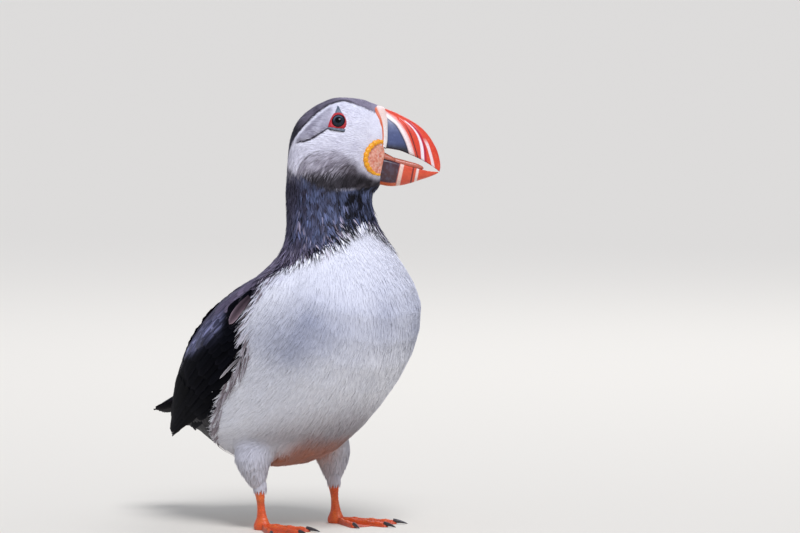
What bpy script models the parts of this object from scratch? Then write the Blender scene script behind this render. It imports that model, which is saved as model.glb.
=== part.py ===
"""An Atlantic puffin, life size, standing upright with its head turned to its left.

Metres, +Z up. The bird faces -Y and its left side is +X. The feet stand on Z = 0 and the
origin is under the middle of the whole bird's box. Lengths below are in millimetres and
become metres where a mesh is made. "f" is the distance forward of the ankles, along -Y.
"""

import math

import bmesh
import bpy
from mathutils import Matrix, Vector

MM = 0.001
GAP = 0.3  # between neighbouring solids

# ---- driving dimensions, in millimetres and degrees ---------------------------------------

CROWN_HEIGHT = 250.0
HEAD_CENTRE = Vector((3.0, -27.0, CROWN_HEIGHT - 27.3))
HEAD_YAW = -45.0  # turns the bill from +X towards -Y, which is the bird's left front
HEAD_ROLL = -5.0  # the crown leans a little to the bird's left
HEAD_FRONT = 25.5  # from the head's centre to the plane that the bill grows from
HEAD_CUT = 197.0  # height of the cut between head and neck
NECK_CUT_POINT = Vector((0.0, -27.0, 168.0))
NECK_CUT_TILT = 14.0  # the cut between neck and trunk leans forward

EYE_RADIUS = 5.4
EYE_APERTURE = 3.5  # radius of the opening that shows the eye
EYE_AT = (2.0, 14.0)  # forward of and above the head's centre

ANKLE_SPREAD = 28.0  # each leg's distance from the middle plane
ANKLE_F = -5.0
LEFT_LEG_AHEAD = 4.0  # the left foot stands a little in front of the right
TOE_ROOT_F = -4.0
TOES_OUT = 9.0  # each foot points this far outwards, in degrees
SOLE_THICKNESS = 1.6
MIDDLE_TOE = 39.0

# Trunk and neck, from the rump to inside the head: the point on the back and the point on
# the breast, each as (f, height), then the half width.
TRUNK_STATIONS = [
    (-92, 72, -84, 61, 9),
    (-88, 80, -70, 51, 20),
    (-77, 95, -44, 39, 33),
    (-62, 112, -16, 33, 43),
    (-47, 127, 16, 42, 47),
    (-33, 139, 46, 67, 50.5),
    (-19, 148, 69, 96, 51),
    (-6, 157, 79, 127, 46),
    (2, 167, 69, 153, 35.5),
    (1.5, 179, 54, 172, 28.5),
    (0.5, 192, 49, 190, 25.5),
    (1.5, 207, 46, 207, 22.5),
    (9, 222, 42, 222, 14),
]
TRUNK_RINGS = 25
TRUNK_SIDES = 30
TRUNK_FULLNESS = 2.15  # 2 is an ellipse, and more is boxier
NECK_VOXEL = 4.3  # the size of the facets on the head and the neck
NECK_SMOOTHING = 4

# Head, from the nape to the bill, in its own frame: distance forward, top, bottom, half width.
HEAD_STATIONS = [
    (-28.4, -3, -21, 5),
    (-26.8, 3.5, -27, 11),
    (-22.6, 11.5, -33, 16.5),
    (-14.5, 21.2, -36, 20.4),
    (-5.0, 26.7, -35, 21.6),
    (5.0, 28.0, -32, 20.8),
    (15.0, 27.5, -29, 17.6),
    (21.5, 25.6, -26.5, 13.2),
    (HEAD_FRONT, 23.6, -24.2, 10.2),
    (HEAD_FRONT + 5, 20.0, -21, 7.6),
]
HEAD_RINGS = 19
HEAD_SIDES = 28
HEAD_FULLNESS = 2.25

# The folded wing: a long lens wrapped on the side of the trunk. At each station: its middle
# as (f, height), distance from the middle plane, half chord, thickness, and how far the
# edges bend in towards the body.
WING_STATIONS = [
    (40, 149, 37, 4, 6, 0.5),
    (32, 144, 42, 12, 10, 3),
    (19, 135, 47, 19, 13, 7),
    (1, 120, 50.5, 25, 15, 10),
    (-21, 103, 49, 26, 14, 9),
    (-43, 86, 43.5, 22.5, 11, 7),
    (-62, 72, 35, 15.5, 8, 4),
    (-78, 60, 26, 8, 5, 1),
    (-90, 51, 19, 2.2, 2.2, 0),
]
WING_RINGS = 15
WING_CHORD_STEPS = 8

# The tail: middle as (f, height), half width, half thickness.
TAIL_STATIONS = [
    (-62, 80, 14, 9),
    (-79, 74, 17, 7),
    (-94, 68, 19, 4),
    (-107, 63.5, 17.5, 2.0),
    (-115, 61, 12.5, 1.2),
]
TAIL_RINGS = 8
TAIL_SIDES = 16

# The feathered upper leg, from inside the belly to the ankle: how far it lies outside the
# ankle, then f and height, half width, half depth.
LEG_STATIONS = [
    (-9, -9, 62, 12, 18),
    (-4, -9, 52, 13, 17),
    (1.2, -8.5, 42, 11.5, 13.5),
    (2.2, -8, 34, 8.8, 10.5),
    (1.2, -6.5, 27, 6, 7),
    (0, -5.6, 22.5, 4.3, 4.8),
]
LEG_RINGS = 8
LEG_SIDES = 16

# The bill in the head's frame: (forward, height) of its edges from the base to the tip.
CULMEN = [(28.8, 21.6), (41.5, 15.6), (48, 9.9), (53.6, 3.4), (57.8, -3), (60, -9.5), (60.2, -15)]
UPPER_EDGE = [(28.8, -1.2), (37.5, -2.8), (42.5, -4.9), (48, -7.2), (53, -9.8), (57, -12.4), (59.4, -14.8)]
KEEL = [(26.2, -22.6), (31, -23.3), (37, -22.8), (43, -21.2), (49, -19.2), (54, -17.6), (58.6, -16.7)]
LOWER_EDGE = [(26.2, -6.5), (31, -7.2), (37, -8.6), (43, -10.2), (49, -12.2), (54, -14.2), (58.6, -15.9)]
TONGUE_STATIONS = [(26.2, -4.2, 3.6, 1.2), (34, -4.9, 3.4, 1.3), (42, -7.1, 2.6, 1.1), (49, -9.6, 1.2, 0.6)]
BILL_HALF_WIDTH = 7.4
RIDGE_HALF_WIDTH = 2.0  # of the rounded ridge along the top, or the keel below
BILL_RINGS = 15
ARCH_STEPS = 6
CERE_BACK = HEAD_FRONT + GAP
CERE_FRONT = 28.5
CERE_PROUD = 0.9

COLOURS = {
    "feathers_black": ((0.025, 0.025, 0.03), 0.6),
    "feathers_white": ((0.85, 0.85, 0.87), 0.8),
    "feathers_grey": ((0.6, 0.6, 0.64), 0.8),
    "bill_horn": ((0.8, 0.12, 0.05), 0.35),
    "cere_horn": ((0.85, 0.75, 0.55), 0.4),
    "orange_skin": ((0.85, 0.2, 0.03), 0.45),
    "rosette_skin": ((0.95, 0.5, 0.03), 0.5),
    "tongue_skin": ((0.8, 0.45, 0.35), 0.4),
    "eye": ((0.02, 0.015, 0.015), 0.05),
    "eye_plate_horn": ((0.2, 0.24, 0.32), 0.4),
    "claw_horn": ((0.02, 0.02, 0.02), 0.3),
}


# ---- scene, materials and collections -----------------------------------------------------

for old in list(bpy.data.objects):
    bpy.data.objects.remove(old)


def new_collection(name):
    made = bpy.data.collections.new(name)
    bpy.context.scene.collection.children.link(made)
    return made


BIRD = new_collection("atlantic_puffin")
HELPERS = new_collection("cutters")


def material(name):
    found = bpy.data.materials.get(name)
    if found:
        return found
    colour, roughness = COLOURS[name]
    made = bpy.data.materials.new(name)
    made.use_nodes = True
    shader = made.node_tree.nodes["Principled BSDF"]
    shader.inputs["Base Color"].default_value = (*colour, 1)
    shader.inputs["Roughness"].default_value = roughness
    shader.inputs["Metallic"].default_value = 0.0
    made.diffuse_color = (*colour, 1)
    return made


def part(name, mesh, finish, matrix=None):
    """A visible piece of the bird."""
    made = bpy.data.objects.new(name, mesh)
    BIRD.objects.link(made)
    if matrix is not None:
        made.matrix_world = matrix
    mesh.materials.clear()
    mesh.materials.append(material(finish))
    mesh.shade_smooth()
    mesh.set_sharp_from_angle(angle=math.radians(50))
    return made


def helper(name, mesh, matrix=None):
    """A shape that only cuts or joins, and isn't part of the bird."""
    made = bpy.data.objects.new(name, mesh)
    HELPERS.objects.link(made)
    if matrix is not None:
        made.matrix_world = matrix
    made.hide_render = True
    made.display_type = "WIRE"
    return made


def combine(target, other, operation):
    modifier = target.modifiers.new(f"{operation.lower()}_{other.name}", "BOOLEAN")
    modifier.operation = operation
    modifier.solver = "EXACT"
    modifier.object = other


# ---- curves and lofts ---------------------------------------------------------------------


def between(a, b, c, d, t):
    """A Catmull-Rom curve's value between b (t = 0) and c (t = 1), with a and d its neighbours."""
    slope = c - a
    bend = 2 * a - 5 * b + 4 * c - d
    twist = 3 * b - a - 3 * c + d
    return 0.5 * (2 * b + slope * t + bend * t**2 + twist * t**3)


def smooth_rows(rows, count):
    """Rows of numbers read at even steps along a smooth curve through them."""
    last = len(rows) - 1
    found = []
    for step in range(count):
        place = step * last / (count - 1)
        i = min(int(place), last - 1)
        near = (rows[max(i - 1, 0)], rows[i], rows[i + 1], rows[min(i + 2, last)])
        found.append(tuple(between(*values, place - i) for values in zip(*near)))
    return found


def signed_power(value, power):
    return math.copysign(abs(value) ** power, value)


def oval(centre, across, up, sides, fullness=2.0):
    """A closed ring: an ellipse, or a fuller superellipse, on two half axes."""
    ring = []
    for k in range(sides):
        angle = 2 * math.pi * k / sides
        ring.append(
            centre
            + across * signed_power(math.cos(angle), 2 / fullness)
            + up * signed_power(math.sin(angle), 2 / fullness)
        )
    return ring


def loft(name, rings):
    """A closed skin over rings with the same number of points, in millimetres, capped flat."""
    bm = bmesh.new()
    rows = [[bm.verts.new(p * MM) for p in ring] for ring in rings]
    sides = len(rings[0])
    for near, far in zip(rows, rows[1:]):
        for k in range(sides):
            after = (k + 1) % sides
            bm.faces.new((near[k], near[after], far[after], far[k]))
    for row in (rows[0], rows[-1]):
        bmesh.ops.contextual_create(bm, geom=row)
    bmesh.ops.recalc_face_normals(bm, faces=bm.faces)
    bmesh.ops.triangulate(bm, faces=[f for f in bm.faces if len(f.verts) > 4])
    mesh = bpy.data.meshes.new(name)
    bm.to_mesh(mesh)
    bm.free()
    return mesh


def slab_mesh(name, low, high):
    """A big box between two heights, for cutting."""
    bm = bmesh.new()
    reach = 400.0
    bmesh.ops.create_cube(bm, size=1.0)
    bmesh.ops.scale(bm, verts=bm.verts, vec=(reach * MM, reach * MM, (high - low) * MM))
    bmesh.ops.translate(bm, verts=bm.verts, vec=(0, 0, (high + low) / 2 * MM))
    mesh = bpy.data.meshes.new(name)
    bm.to_mesh(mesh)
    bm.free()
    return mesh


def slab(name, low, high, matrix):
    return helper(name, slab_mesh(name, low, high), matrix)


def sphere(name, radius, centre):
    bm = bmesh.new()
    bmesh.ops.create_uvsphere(bm, u_segments=16, v_segments=10, radius=radius * MM)
    bmesh.ops.translate(bm, verts=bm.verts, vec=centre * MM)
    mesh = bpy.data.meshes.new(name)
    bm.to_mesh(mesh)
    bm.free()
    return mesh


# ---- trunk, neck and head -----------------------------------------------------------------


def trunk_rings(grow=0.0):
    """Rings square to the spine. grow makes the body thicker all round."""
    rings = []
    for back_f, back_z, front_f, front_z, half_width in smooth_rows(TRUNK_STATIONS, TRUNK_RINGS):
        back = Vector((0, -back_f, back_z))
        front = Vector((0, -front_f, front_z))
        across = Vector((half_width + grow, 0, 0))
        depth = (front - back) / 2
        depth += depth.normalized() * grow
        rings.append(oval((back + front) / 2, across, depth, TRUNK_SIDES, TRUNK_FULLNESS))
    return rings


def head_frame():
    yaw = Matrix.Rotation(math.radians(HEAD_YAW), 4, "Z")
    roll = Matrix.Rotation(math.radians(HEAD_ROLL), 4, "X")
    return Matrix.Translation(HEAD_CENTRE * MM) @ yaw @ roll


def head_rings(grow=0.0):
    rings = []
    for forward, top, bottom, half_width in smooth_rows(HEAD_STATIONS, HEAD_RINGS):
        centre = Vector((forward, 0, (top + bottom) / 2))
        up = Vector((0, 0, (top - bottom) / 2 + grow))
        rings.append(oval(centre, Vector((0, half_width + grow, 0)), up, HEAD_SIDES, HEAD_FULLNESS))
    return rings


def head_side(forward, height, side):
    """The point on the head's side at this place, and the outward normal there, in its frame."""
    rows = smooth_rows(HEAD_STATIONS, 200)

    def half_width_at(x, z):
        _, top, bottom, half_width = min(rows, key=lambda row: abs(row[0] - x))
        share = abs(z - (top + bottom) / 2) / ((top - bottom) / 2)
        return half_width * max(1 - share**HEAD_FULLNESS, 0) ** (1 / HEAD_FULLNESS)

    step = 2.0
    here = half_width_at(forward, height)
    slope_x = (half_width_at(forward + step, height) - half_width_at(forward - step, height)) / (2 * step)
    slope_z = (half_width_at(forward, height + step) - half_width_at(forward, height - step)) / (2 * step)
    normal = Vector((-slope_x, side, -slope_z)).normalized()
    return Vector((forward, side * here, height)), normal


HEAD = head_frame()
BILL_PLANE = HEAD @ Matrix.Translation(Vector((HEAD_FRONT, 0, 0)) * MM) @ Matrix.Rotation(math.pi / 2, 4, "Y")
neck_frame = Matrix.Translation(NECK_CUT_POINT * MM) @ Matrix.Rotation(math.radians(NECK_CUT_TILT), 4, "X")
body_grown = helper("body_grown", loft("body_grown", trunk_rings(GAP)))
below_neck = slab("below_neck", -300, -GAP / 2, neck_frame)
shoulders_up = slab("shoulders_up", -12, 200, neck_frame)
above_neck = slab("above_neck", GAP / 2, 200, neck_frame)
below_head = slab("below_head", 0, HEAD_CUT - GAP / 2, Matrix.Identity(4))
behind_bill = slab("behind_bill", -200, 0, BILL_PLANE)
before_head = slab("before_head", 0, 200, BILL_PLANE)
head_shape = helper("head_shape", loft("head_shape", head_rings()), HEAD)
head_grown = helper("head_grown", loft("head_grown", head_rings(GAP)), HEAD)

trunk = part("trunk", loft("trunk", trunk_rings()), "feathers_white")
combine(trunk, below_neck, "INTERSECT")

# The head flows into the neck: the two are joined, then remeshed and smoothed as one.
head_and_neck = helper("head_and_neck", loft("head_and_neck", trunk_rings()))
combine(head_and_neck, shoulders_up, "INTERSECT")
combine(head_and_neck, head_shape, "UNION")
remesh = head_and_neck.modifiers.new("even_facets", "REMESH")
remesh.mode = "VOXEL"
remesh.voxel_size = NECK_VOXEL * MM
smoothing = head_and_neck.modifiers.new("soften", "SMOOTH")
smoothing.factor = 0.5
smoothing.iterations = NECK_SMOOTHING

neck = part("neck", slab_mesh("neck", 150, HEAD_CUT - GAP / 2), "feathers_black")
combine(neck, head_and_neck, "INTERSECT")
combine(neck, above_neck, "INTERSECT")

head = part("head", slab_mesh("head", HEAD_CUT + GAP / 2, HEAD_CUT + 100), "feathers_grey")
combine(head, head_and_neck, "INTERSECT")
combine(head, behind_bill, "INTERSECT")


# ---- eyes, with the horny plates above and below each one ---------------------------------


def flat_plate(outline, place, normal):
    """A small horn plate raised from the head's side, narrower at its top."""
    across = (Vector((1, 0, 0)) - normal * normal.x).normalized()
    up = normal.cross(across)
    up *= math.copysign(1, up.z)
    middle_x = sum(x for x, _ in outline) / len(outline)
    middle_z = sum(z for _, z in outline) / len(outline)
    rings = []
    for height, size in ((-PLATE_ROOT, 1.0), (PLATE_THICKNESS / 2, 1.0), (PLATE_THICKNESS, 0.55)):
        ring = []
        for x, z in outline:
            flat = across * (middle_x + (x - middle_x) * size) + up * (middle_z + (z - middle_z) * size)
            ring.append(place + normal * height + flat)
        rings.append(ring)
    return loft("plate", rings)


# Each plate's outline (forward, up), where its middle lies from the eye's, and its thickness.
UPPER_PLATE = [(-2.5, -0.6), (2.3, -0.6), (1.6, 1.8), (0.9, 4.0), (0.0, 6.2), (-1.1, 4.2)]
LOWER_PLATE = [(-4.9, 0.6), (-4.4, -0.7), (0, -1.3), (4.4, -1.1), (4.8, 0.3), (4.2, 1.1), (-4.3, 1.3)]
PLATES = (("upper", UPPER_PLATE, -0.8, 4.4), ("lower", LOWER_PLATE, -1.4, -5.9))
PLATE_THICKNESS = 1.3
PLATE_ROOT = 1.6  # how far a plate is sunk before the head is cut away from it

SIDES = (("right", -1), ("left", 1))

for side_name, side in SIDES:
    surface, outward = head_side(*EYE_AT, side)
    centre = surface - outward * math.sqrt(EYE_RADIUS**2 - EYE_APERTURE**2)
    part(f"eye_{side_name}", sphere("eye", EYE_RADIUS, centre), "eye", HEAD)
    socket = helper(f"socket_{side_name}", sphere("socket", EYE_RADIUS + GAP, centre), HEAD)
    combine(head, socket, "DIFFERENCE")
    for plate_name, outline, ahead, above in PLATES:
        spot, spot_normal = head_side(EYE_AT[0] + ahead, EYE_AT[1] + above, side)
        plate_mesh = flat_plate(outline, spot, spot_normal)
        plate = part(f"eye_plate_{plate_name}_{side_name}", plate_mesh, "eye_plate_horn", HEAD)
        combine(plate, head_grown, "DIFFERENCE")
        combine(plate, socket, "DIFFERENCE")


# ---- bill ---------------------------------------------------------------------------------


def bill_half_width(share):
    """Half width of the bill from its base (0) to its tip (1)."""
    return BILL_HALF_WIDTH * (1 - 0.86 * share**1.25)


def arch(ridge, edge, half_width, ridge_width):
    """One section of a mandible: up one side from its cutting edge, over the ridge, down again."""
    side = []
    for k in range(ARCH_STEPS + 1):
        up = k / ARCH_STEPS
        wide = ridge_width + (half_width - ridge_width) * (1 - up**2.2)
        if k == ARCH_STEPS:
            wide = ridge_width / 2
        side.append((edge.lerp(ridge, up), Vector((0, wide, 0))))
    return [middle - wide for middle, wide in side] + [middle + wide for middle, wide in reversed(side)]


def mandible(name, ridge_line, edge_line):
    rings = []
    lines = zip(smooth_rows(ridge_line, BILL_RINGS), smooth_rows(edge_line, BILL_RINGS))
    for k, (ridge, edge) in enumerate(lines):
        wide = bill_half_width(k / (BILL_RINGS - 1))
        ridge_point = Vector((ridge[0], 0, ridge[1]))
        edge_point = Vector((edge[0], 0, edge[1]))
        rings.append(arch(ridge_point, edge_point, wide, min(RIDGE_HALF_WIDTH, wide * 0.7)))
    return loft(name, rings)


part("bill_upper", mandible("bill_upper", CULMEN, UPPER_EDGE), "bill_horn", HEAD)
part("bill_lower", mandible("bill_lower", KEEL, LOWER_EDGE), "bill_horn", HEAD)

cere_rings = []
for share, proud in ((0, 0.2), (0.3, CERE_PROUD), (0.7, CERE_PROUD), (1, 0.2)):
    forward = CERE_BACK + (CERE_FRONT - CERE_BACK) * share
    top = Vector((forward, 0, CULMEN[0][1] + proud))
    bottom = Vector((forward, 0, UPPER_EDGE[0][1] - 0.4))
    cere_rings.append(arch(top, bottom, BILL_HALF_WIDTH + proud, RIDGE_HALF_WIDTH + proud))
part("bill_cere", loft("bill_cere", cere_rings), "cere_horn", HEAD)

tongue_rings = []
for forward, height, half_width, half_height in smooth_rows(TONGUE_STATIONS, 9):
    tongue_rings.append(
        oval(Vector((forward, 0, height)), Vector((0, half_width, 0)), Vector((0, 0, half_height)), 12)
    )
part("tongue", loft("tongue", tongue_rings), "tongue_skin", HEAD)


# ---- rosettes: the fleshy folds at the corners of the gape --------------------------------

ROSETTE_CENTRE = (24.2, -7.6)
ROSETTE_RADIUS = 7.0
ROSETTE_THICKNESS = 1.7
ROSETTE_STEPS = 9

for side_name, side in SIDES:
    rings = []
    for k in range(ROSETTE_STEPS + 1):
        angle = math.radians(75 + k * (285 - 75) / ROSETTE_STEPS)
        forward = ROSETTE_CENTRE[0] + ROSETTE_RADIUS * math.cos(angle)
        height = ROSETTE_CENTRE[1] + 1.1 * ROSETTE_RADIUS * math.sin(angle)
        middle, outward = head_side(min(forward, HEAD_FRONT - 0.6), height, side)
        middle.x = forward
        thick = ROSETTE_THICKNESS * (0.55 + 0.45 * math.sin(math.pi * k / ROSETTE_STEPS))
        radial = Vector((math.cos(angle), 0, math.sin(angle)))
        rings.append(oval(middle, radial * thick, outward * thick, 7))
    rosette = part(f"rosette_{side_name}", loft("rosette", rings), "rosette_skin", HEAD)
    combine(rosette, head_grown, "DIFFERENCE")
    combine(rosette, before_head, "DIFFERENCE")


# ---- wings and tail -----------------------------------------------------------------------


def wing_rings(side):
    """Lens sections across the folded wing. Their edges bend in round the body."""
    rings = []
    rows = smooth_rows(WING_STATIONS, WING_RINGS)
    for k, (f, z, out, half_chord, thickness, wrap) in enumerate(rows):
        before, after = rows[max(k - 1, 0)], rows[min(k + 1, len(rows) - 1)]
        along = Vector((0, -(after[0] - before[0]), after[1] - before[1])).normalized()
        chord = along.cross(Vector((1, 0, 0)))
        outer, inner = [], []
        for j in range(WING_CHORD_STEPS):
            v = -1 + 2 * j / (WING_CHORD_STEPS - 1)
            middle = Vector((side * (out - wrap * v * v), -f, z)) + chord * half_chord * v
            half = thickness / 2 * math.sqrt(max(1 - v * v, 0)) + 0.3
            outer.append(middle + Vector((side * half, 0, 0)))
            inner.append(middle - Vector((side * half, 0, 0)))
        rings.append(outer + inner[::-1])
    return rings


for side_name, side in SIDES:
    wing = part(f"wing_{side_name}", loft("wing", wing_rings(side)), "feathers_black")
    combine(wing, body_grown, "DIFFERENCE")

tail_rings = []
for f, z, half_width, half_thickness in smooth_rows(TAIL_STATIONS, TAIL_RINGS):
    tail_rings.append(
        oval(Vector((0, -f, z)), Vector((half_width, 0, 0)), Vector((0, 0, half_thickness)), TAIL_SIDES, 2.4)
    )
tail = part("tail", loft("tail", tail_rings), "feathers_black")
combine(tail, body_grown, "DIFFERENCE")


# ---- legs, feet and claws -----------------------------------------------------------------

# Each toe: its direction from the foot's own axis (inwards is negative) and its length.
TOES = (("inner", -31, 31.0), ("middle", -2, MIDDLE_TOE), ("outer", 25, 37.0))
TOE_HALF_WIDTH = 2.3
TOE_HEIGHT = 4.2
HEEL_HEIGHT = 6.0
CLAW_LENGTH = 7.0
CLAW_ROOT_HEIGHT = 2.3
CLAW_RADIUS = 1.55
TOE_SPREADS = (-6.5, -3, 0, 3, 6.5)  # degrees to each side of a toe, where it is rounded
WEB_REACH = 29.0
FOOT_ROWS = 6


def foot_reach(angle):
    """How far the foot reaches in this direction: the tip of a toe, or the web's hollow edge."""
    reach = WEB_REACH if TOES[0][1] < angle < TOES[2][1] else 7.0
    for _, toe_angle, length in TOES:
        reach = max(reach, length * math.exp(-(((angle - toe_angle) / 6.0) ** 2)))
    return reach


def foot_height(distance, angle):
    """The height of the foot's top: thin web between three rounded toes."""
    height = SOLE_THICKNESS * (1 - 0.35 * distance / MIDDLE_TOE)
    for _, toe_angle, length in TOES:
        off = distance * math.radians(angle - toe_angle)
        crest = TOE_HEIGHT * (1 - 0.45 * distance / length)
        height = max(height, crest * math.exp(-((off / TOE_HALF_WIDTH) ** 2)))
    return height


def foot_mesh(side):
    """A flat-soled fan with the toes raised on it. Its own frame points along +X."""
    angles = sorted({toe_angle + spread for _, toe_angle, _ in TOES for spread in TOE_SPREADS})
    bm = bmesh.new()
    top = []
    for angle in angles:
        direction = Vector((math.cos(math.radians(angle)), side * math.sin(math.radians(angle)), 0))
        row = []
        for j in range(FOOT_ROWS):
            distance = 4.0 + (foot_reach(angle) - 4.0) * j / (FOOT_ROWS - 1)
            height = foot_height(distance, angle)
            row.append(bm.verts.new((direction * distance + Vector((0, 0, height))) * MM))
        top.append(row)
    for near, far in zip(top, top[1:]):
        for j in range(FOOT_ROWS - 1):
            bm.faces.new((near[j], near[j + 1], far[j + 1], far[j]))
    rim = [row[0] for row in top] + top[-1][1:] + [row[-1] for row in top[-2::-1]] + top[0][-2:0:-1]
    sole = [bm.verts.new((v.co.x, v.co.y, 0)) for v in rim]
    for k in range(len(rim)):
        after = (k + 1) % len(rim)
        bm.faces.new((rim[k], sole[k], sole[after], rim[after]))
    bm.faces.new(sole)
    bmesh.ops.recalc_face_normals(bm, faces=bm.faces)
    bmesh.ops.triangulate(bm, faces=[f for f in bm.faces if len(f.verts) > 4])
    mesh = bpy.data.meshes.new("foot")
    bm.to_mesh(mesh)
    bm.free()
    return mesh


def heel_rings():
    """The pad where the three toes meet, which carries the tarsus."""
    rings = []
    for height, radius in ((0, 6.2), (1.5, 6.6), (4.0, 5.6), (HEEL_HEIGHT, 4.4)):
        centre = Vector((1.5, 0, height))
        rings.append(oval(centre, Vector((radius, 0, 0)), Vector((0, radius * 0.85, 0)), 16))
    return rings


def claw_rings():
    """A short curved cone that points along +X and bends down to the ground."""
    rings = []
    for k in range(5):
        share = k / 4
        radius = CLAW_RADIUS * (1 - share) ** 0.75 + 0.16
        height = CLAW_ROOT_HEIGHT * (1 - 0.74 * share**1.8)
        centre = Vector((CLAW_LENGTH * share, 0, max(height, radius + 0.05)))
        rings.append(oval(centre, Vector((0, radius * 0.8, 0)), Vector((radius * 0.25, 0, radius)), 7))
    return rings


for side_name, side in SIDES:
    ahead = LEFT_LEG_AHEAD if side > 0 else 0.0
    leg_rings = [
        oval(
            Vector((side * (ANKLE_SPREAD + out), -f - ahead, z)),
            Vector((half_width, 0, 0)),
            Vector((0, half_depth, 0)),
            LEG_SIDES,
        )
        for out, f, z, half_width, half_depth in smooth_rows(LEG_STATIONS, LEG_RINGS)
    ]
    leg = part(f"leg_{side_name}", loft("leg", leg_rings), "feathers_white")
    combine(leg, body_grown, "DIFFERENCE")

    tarsus_rings = []
    for share in (0, 0.12, 0.35, 0.65, 0.9, 1.0):
        top_z = LEG_STATIONS[-1][2] - GAP
        low_z = HEEL_HEIGHT + GAP
        z = top_z + (low_z - top_z) * share
        f = ANKLE_F + (TOE_ROOT_F + 1.0 - ANKLE_F) * share
        thick = 3.3 - 1.0 * math.sin(math.pi * share)
        tarsus_rings.append(
            oval(
                Vector((side * ANKLE_SPREAD, -f - ahead, z)),
                Vector((thick * 0.8, 0, 0)),
                Vector((0, thick * 1.15, 0)),
                12,
            )
        )
    part(f"tarsus_{side_name}", loft("tarsus", tarsus_rings), "orange_skin")

    turn = Matrix.Rotation(math.radians(-90 + side * TOES_OUT), 4, "Z")
    foot_frame = Matrix.Translation(Vector((side * ANKLE_SPREAD, -TOE_ROOT_F - ahead, 0)) * MM) @ turn
    foot = part(f"foot_{side_name}", foot_mesh(side), "orange_skin", foot_frame)
    heel = helper(f"heel_{side_name}", loft("heel", heel_rings()), foot_frame)
    combine(foot, heel, "UNION")
    for toe_name, toe_angle, length in TOES:
        aim = Matrix.Rotation(math.radians(side * toe_angle), 4, "Z")
        reach = Matrix.Translation(Vector((length + GAP, 0, 0)) * MM)
        claw_mesh = loft("claw", claw_rings())
        part(f"claw_{side_name}_{toe_name}", claw_mesh, "claw_horn", foot_frame @ aim @ reach)


# ---- the origin goes under the middle of the bird's box -----------------------------------


def centre_on_base():
    bpy.context.view_layer.update()
    graph = bpy.context.evaluated_depsgraph_get()
    points = []
    for piece in BIRD.objects:
        solid = piece.evaluated_get(graph)
        points += [solid.matrix_world @ v.co for v in solid.data.vertices]
    low = [min(p[k] for p in points) for k in range(3)]
    high = [max(p[k] for p in points) for k in range(3)]
    shift = Vector((-(low[0] + high[0]) / 2, -(low[1] + high[1]) / 2, -low[2]))
    pieces = [*BIRD.objects, *HELPERS.objects]
    stance = bpy.data.objects.new("stance", None)
    BIRD.objects.link(stance)
    for piece in pieces:
        piece.parent = stance
    stance.location = shift
    print("moved by, in mm:", [round(v / MM, 3) for v in shift])


centre_on_base()
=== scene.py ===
"""The looks of a life-size Atlantic puffin: skin, plumage, bill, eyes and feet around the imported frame.

Metres, +Z up; the bird faces -Y and turns its head to its left. Shapes are written in millimetres.
"""

import math

import bmesh
import bpy
import numpy as np
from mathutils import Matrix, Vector
from mathutils.bvhtree import BVHTree
from mathutils.kdtree import KDTree


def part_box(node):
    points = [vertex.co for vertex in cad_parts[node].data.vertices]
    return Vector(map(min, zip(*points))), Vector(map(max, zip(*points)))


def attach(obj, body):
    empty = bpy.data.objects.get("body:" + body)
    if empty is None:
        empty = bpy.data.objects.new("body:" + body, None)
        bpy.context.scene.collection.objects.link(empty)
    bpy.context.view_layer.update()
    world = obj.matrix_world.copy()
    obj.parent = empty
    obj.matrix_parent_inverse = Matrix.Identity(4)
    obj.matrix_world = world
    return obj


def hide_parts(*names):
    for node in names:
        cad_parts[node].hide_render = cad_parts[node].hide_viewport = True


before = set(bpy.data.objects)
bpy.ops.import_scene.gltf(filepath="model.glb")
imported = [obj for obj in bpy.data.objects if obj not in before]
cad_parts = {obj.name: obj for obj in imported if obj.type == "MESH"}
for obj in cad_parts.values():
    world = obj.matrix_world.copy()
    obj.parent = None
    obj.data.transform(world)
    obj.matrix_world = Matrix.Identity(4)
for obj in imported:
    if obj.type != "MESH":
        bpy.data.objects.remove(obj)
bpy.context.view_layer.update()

# ---- skin -----------------------------------------------------------------------------------
# One skin covers head, neck, trunk, wings, tail and thighs, with no seam between them. It lies
# under the frame's surface by the depth of the plumage, and is soft, dry and finely wrinkled.

MM = 0.001
FLESH = ("head", "neck", "trunk", "tail", "wing_left", "wing_right", "leg_left", "leg_right")
SKIN_CELL = 1.5  # millimetres between the skin's points
GROWN = {"trunk": 1.5, "wing_left": 1.5, "wing_right": 1.5}  # closes gaps narrower than twice this
LEAST_GROWN = 0.3
SMOOTH_ROUNDS = 7
FILL_ROUNDS = 140
BODY_COAT = 1.5  # depth of the plumage on the body, then on the head
HEAD_COAT = 0.8
COAT_SHARE = 0.3  # the most of the flesh's thickness that plumage takes up
BILL_RIM_REACH = 2.2  # how far the skin runs on under the rim of the bill
SKIN_WRINKLE = 0.8  # from one wrinkle to the next
SKIN_TONE = 0.92  # bare skin against the feathers that grow on it


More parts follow.
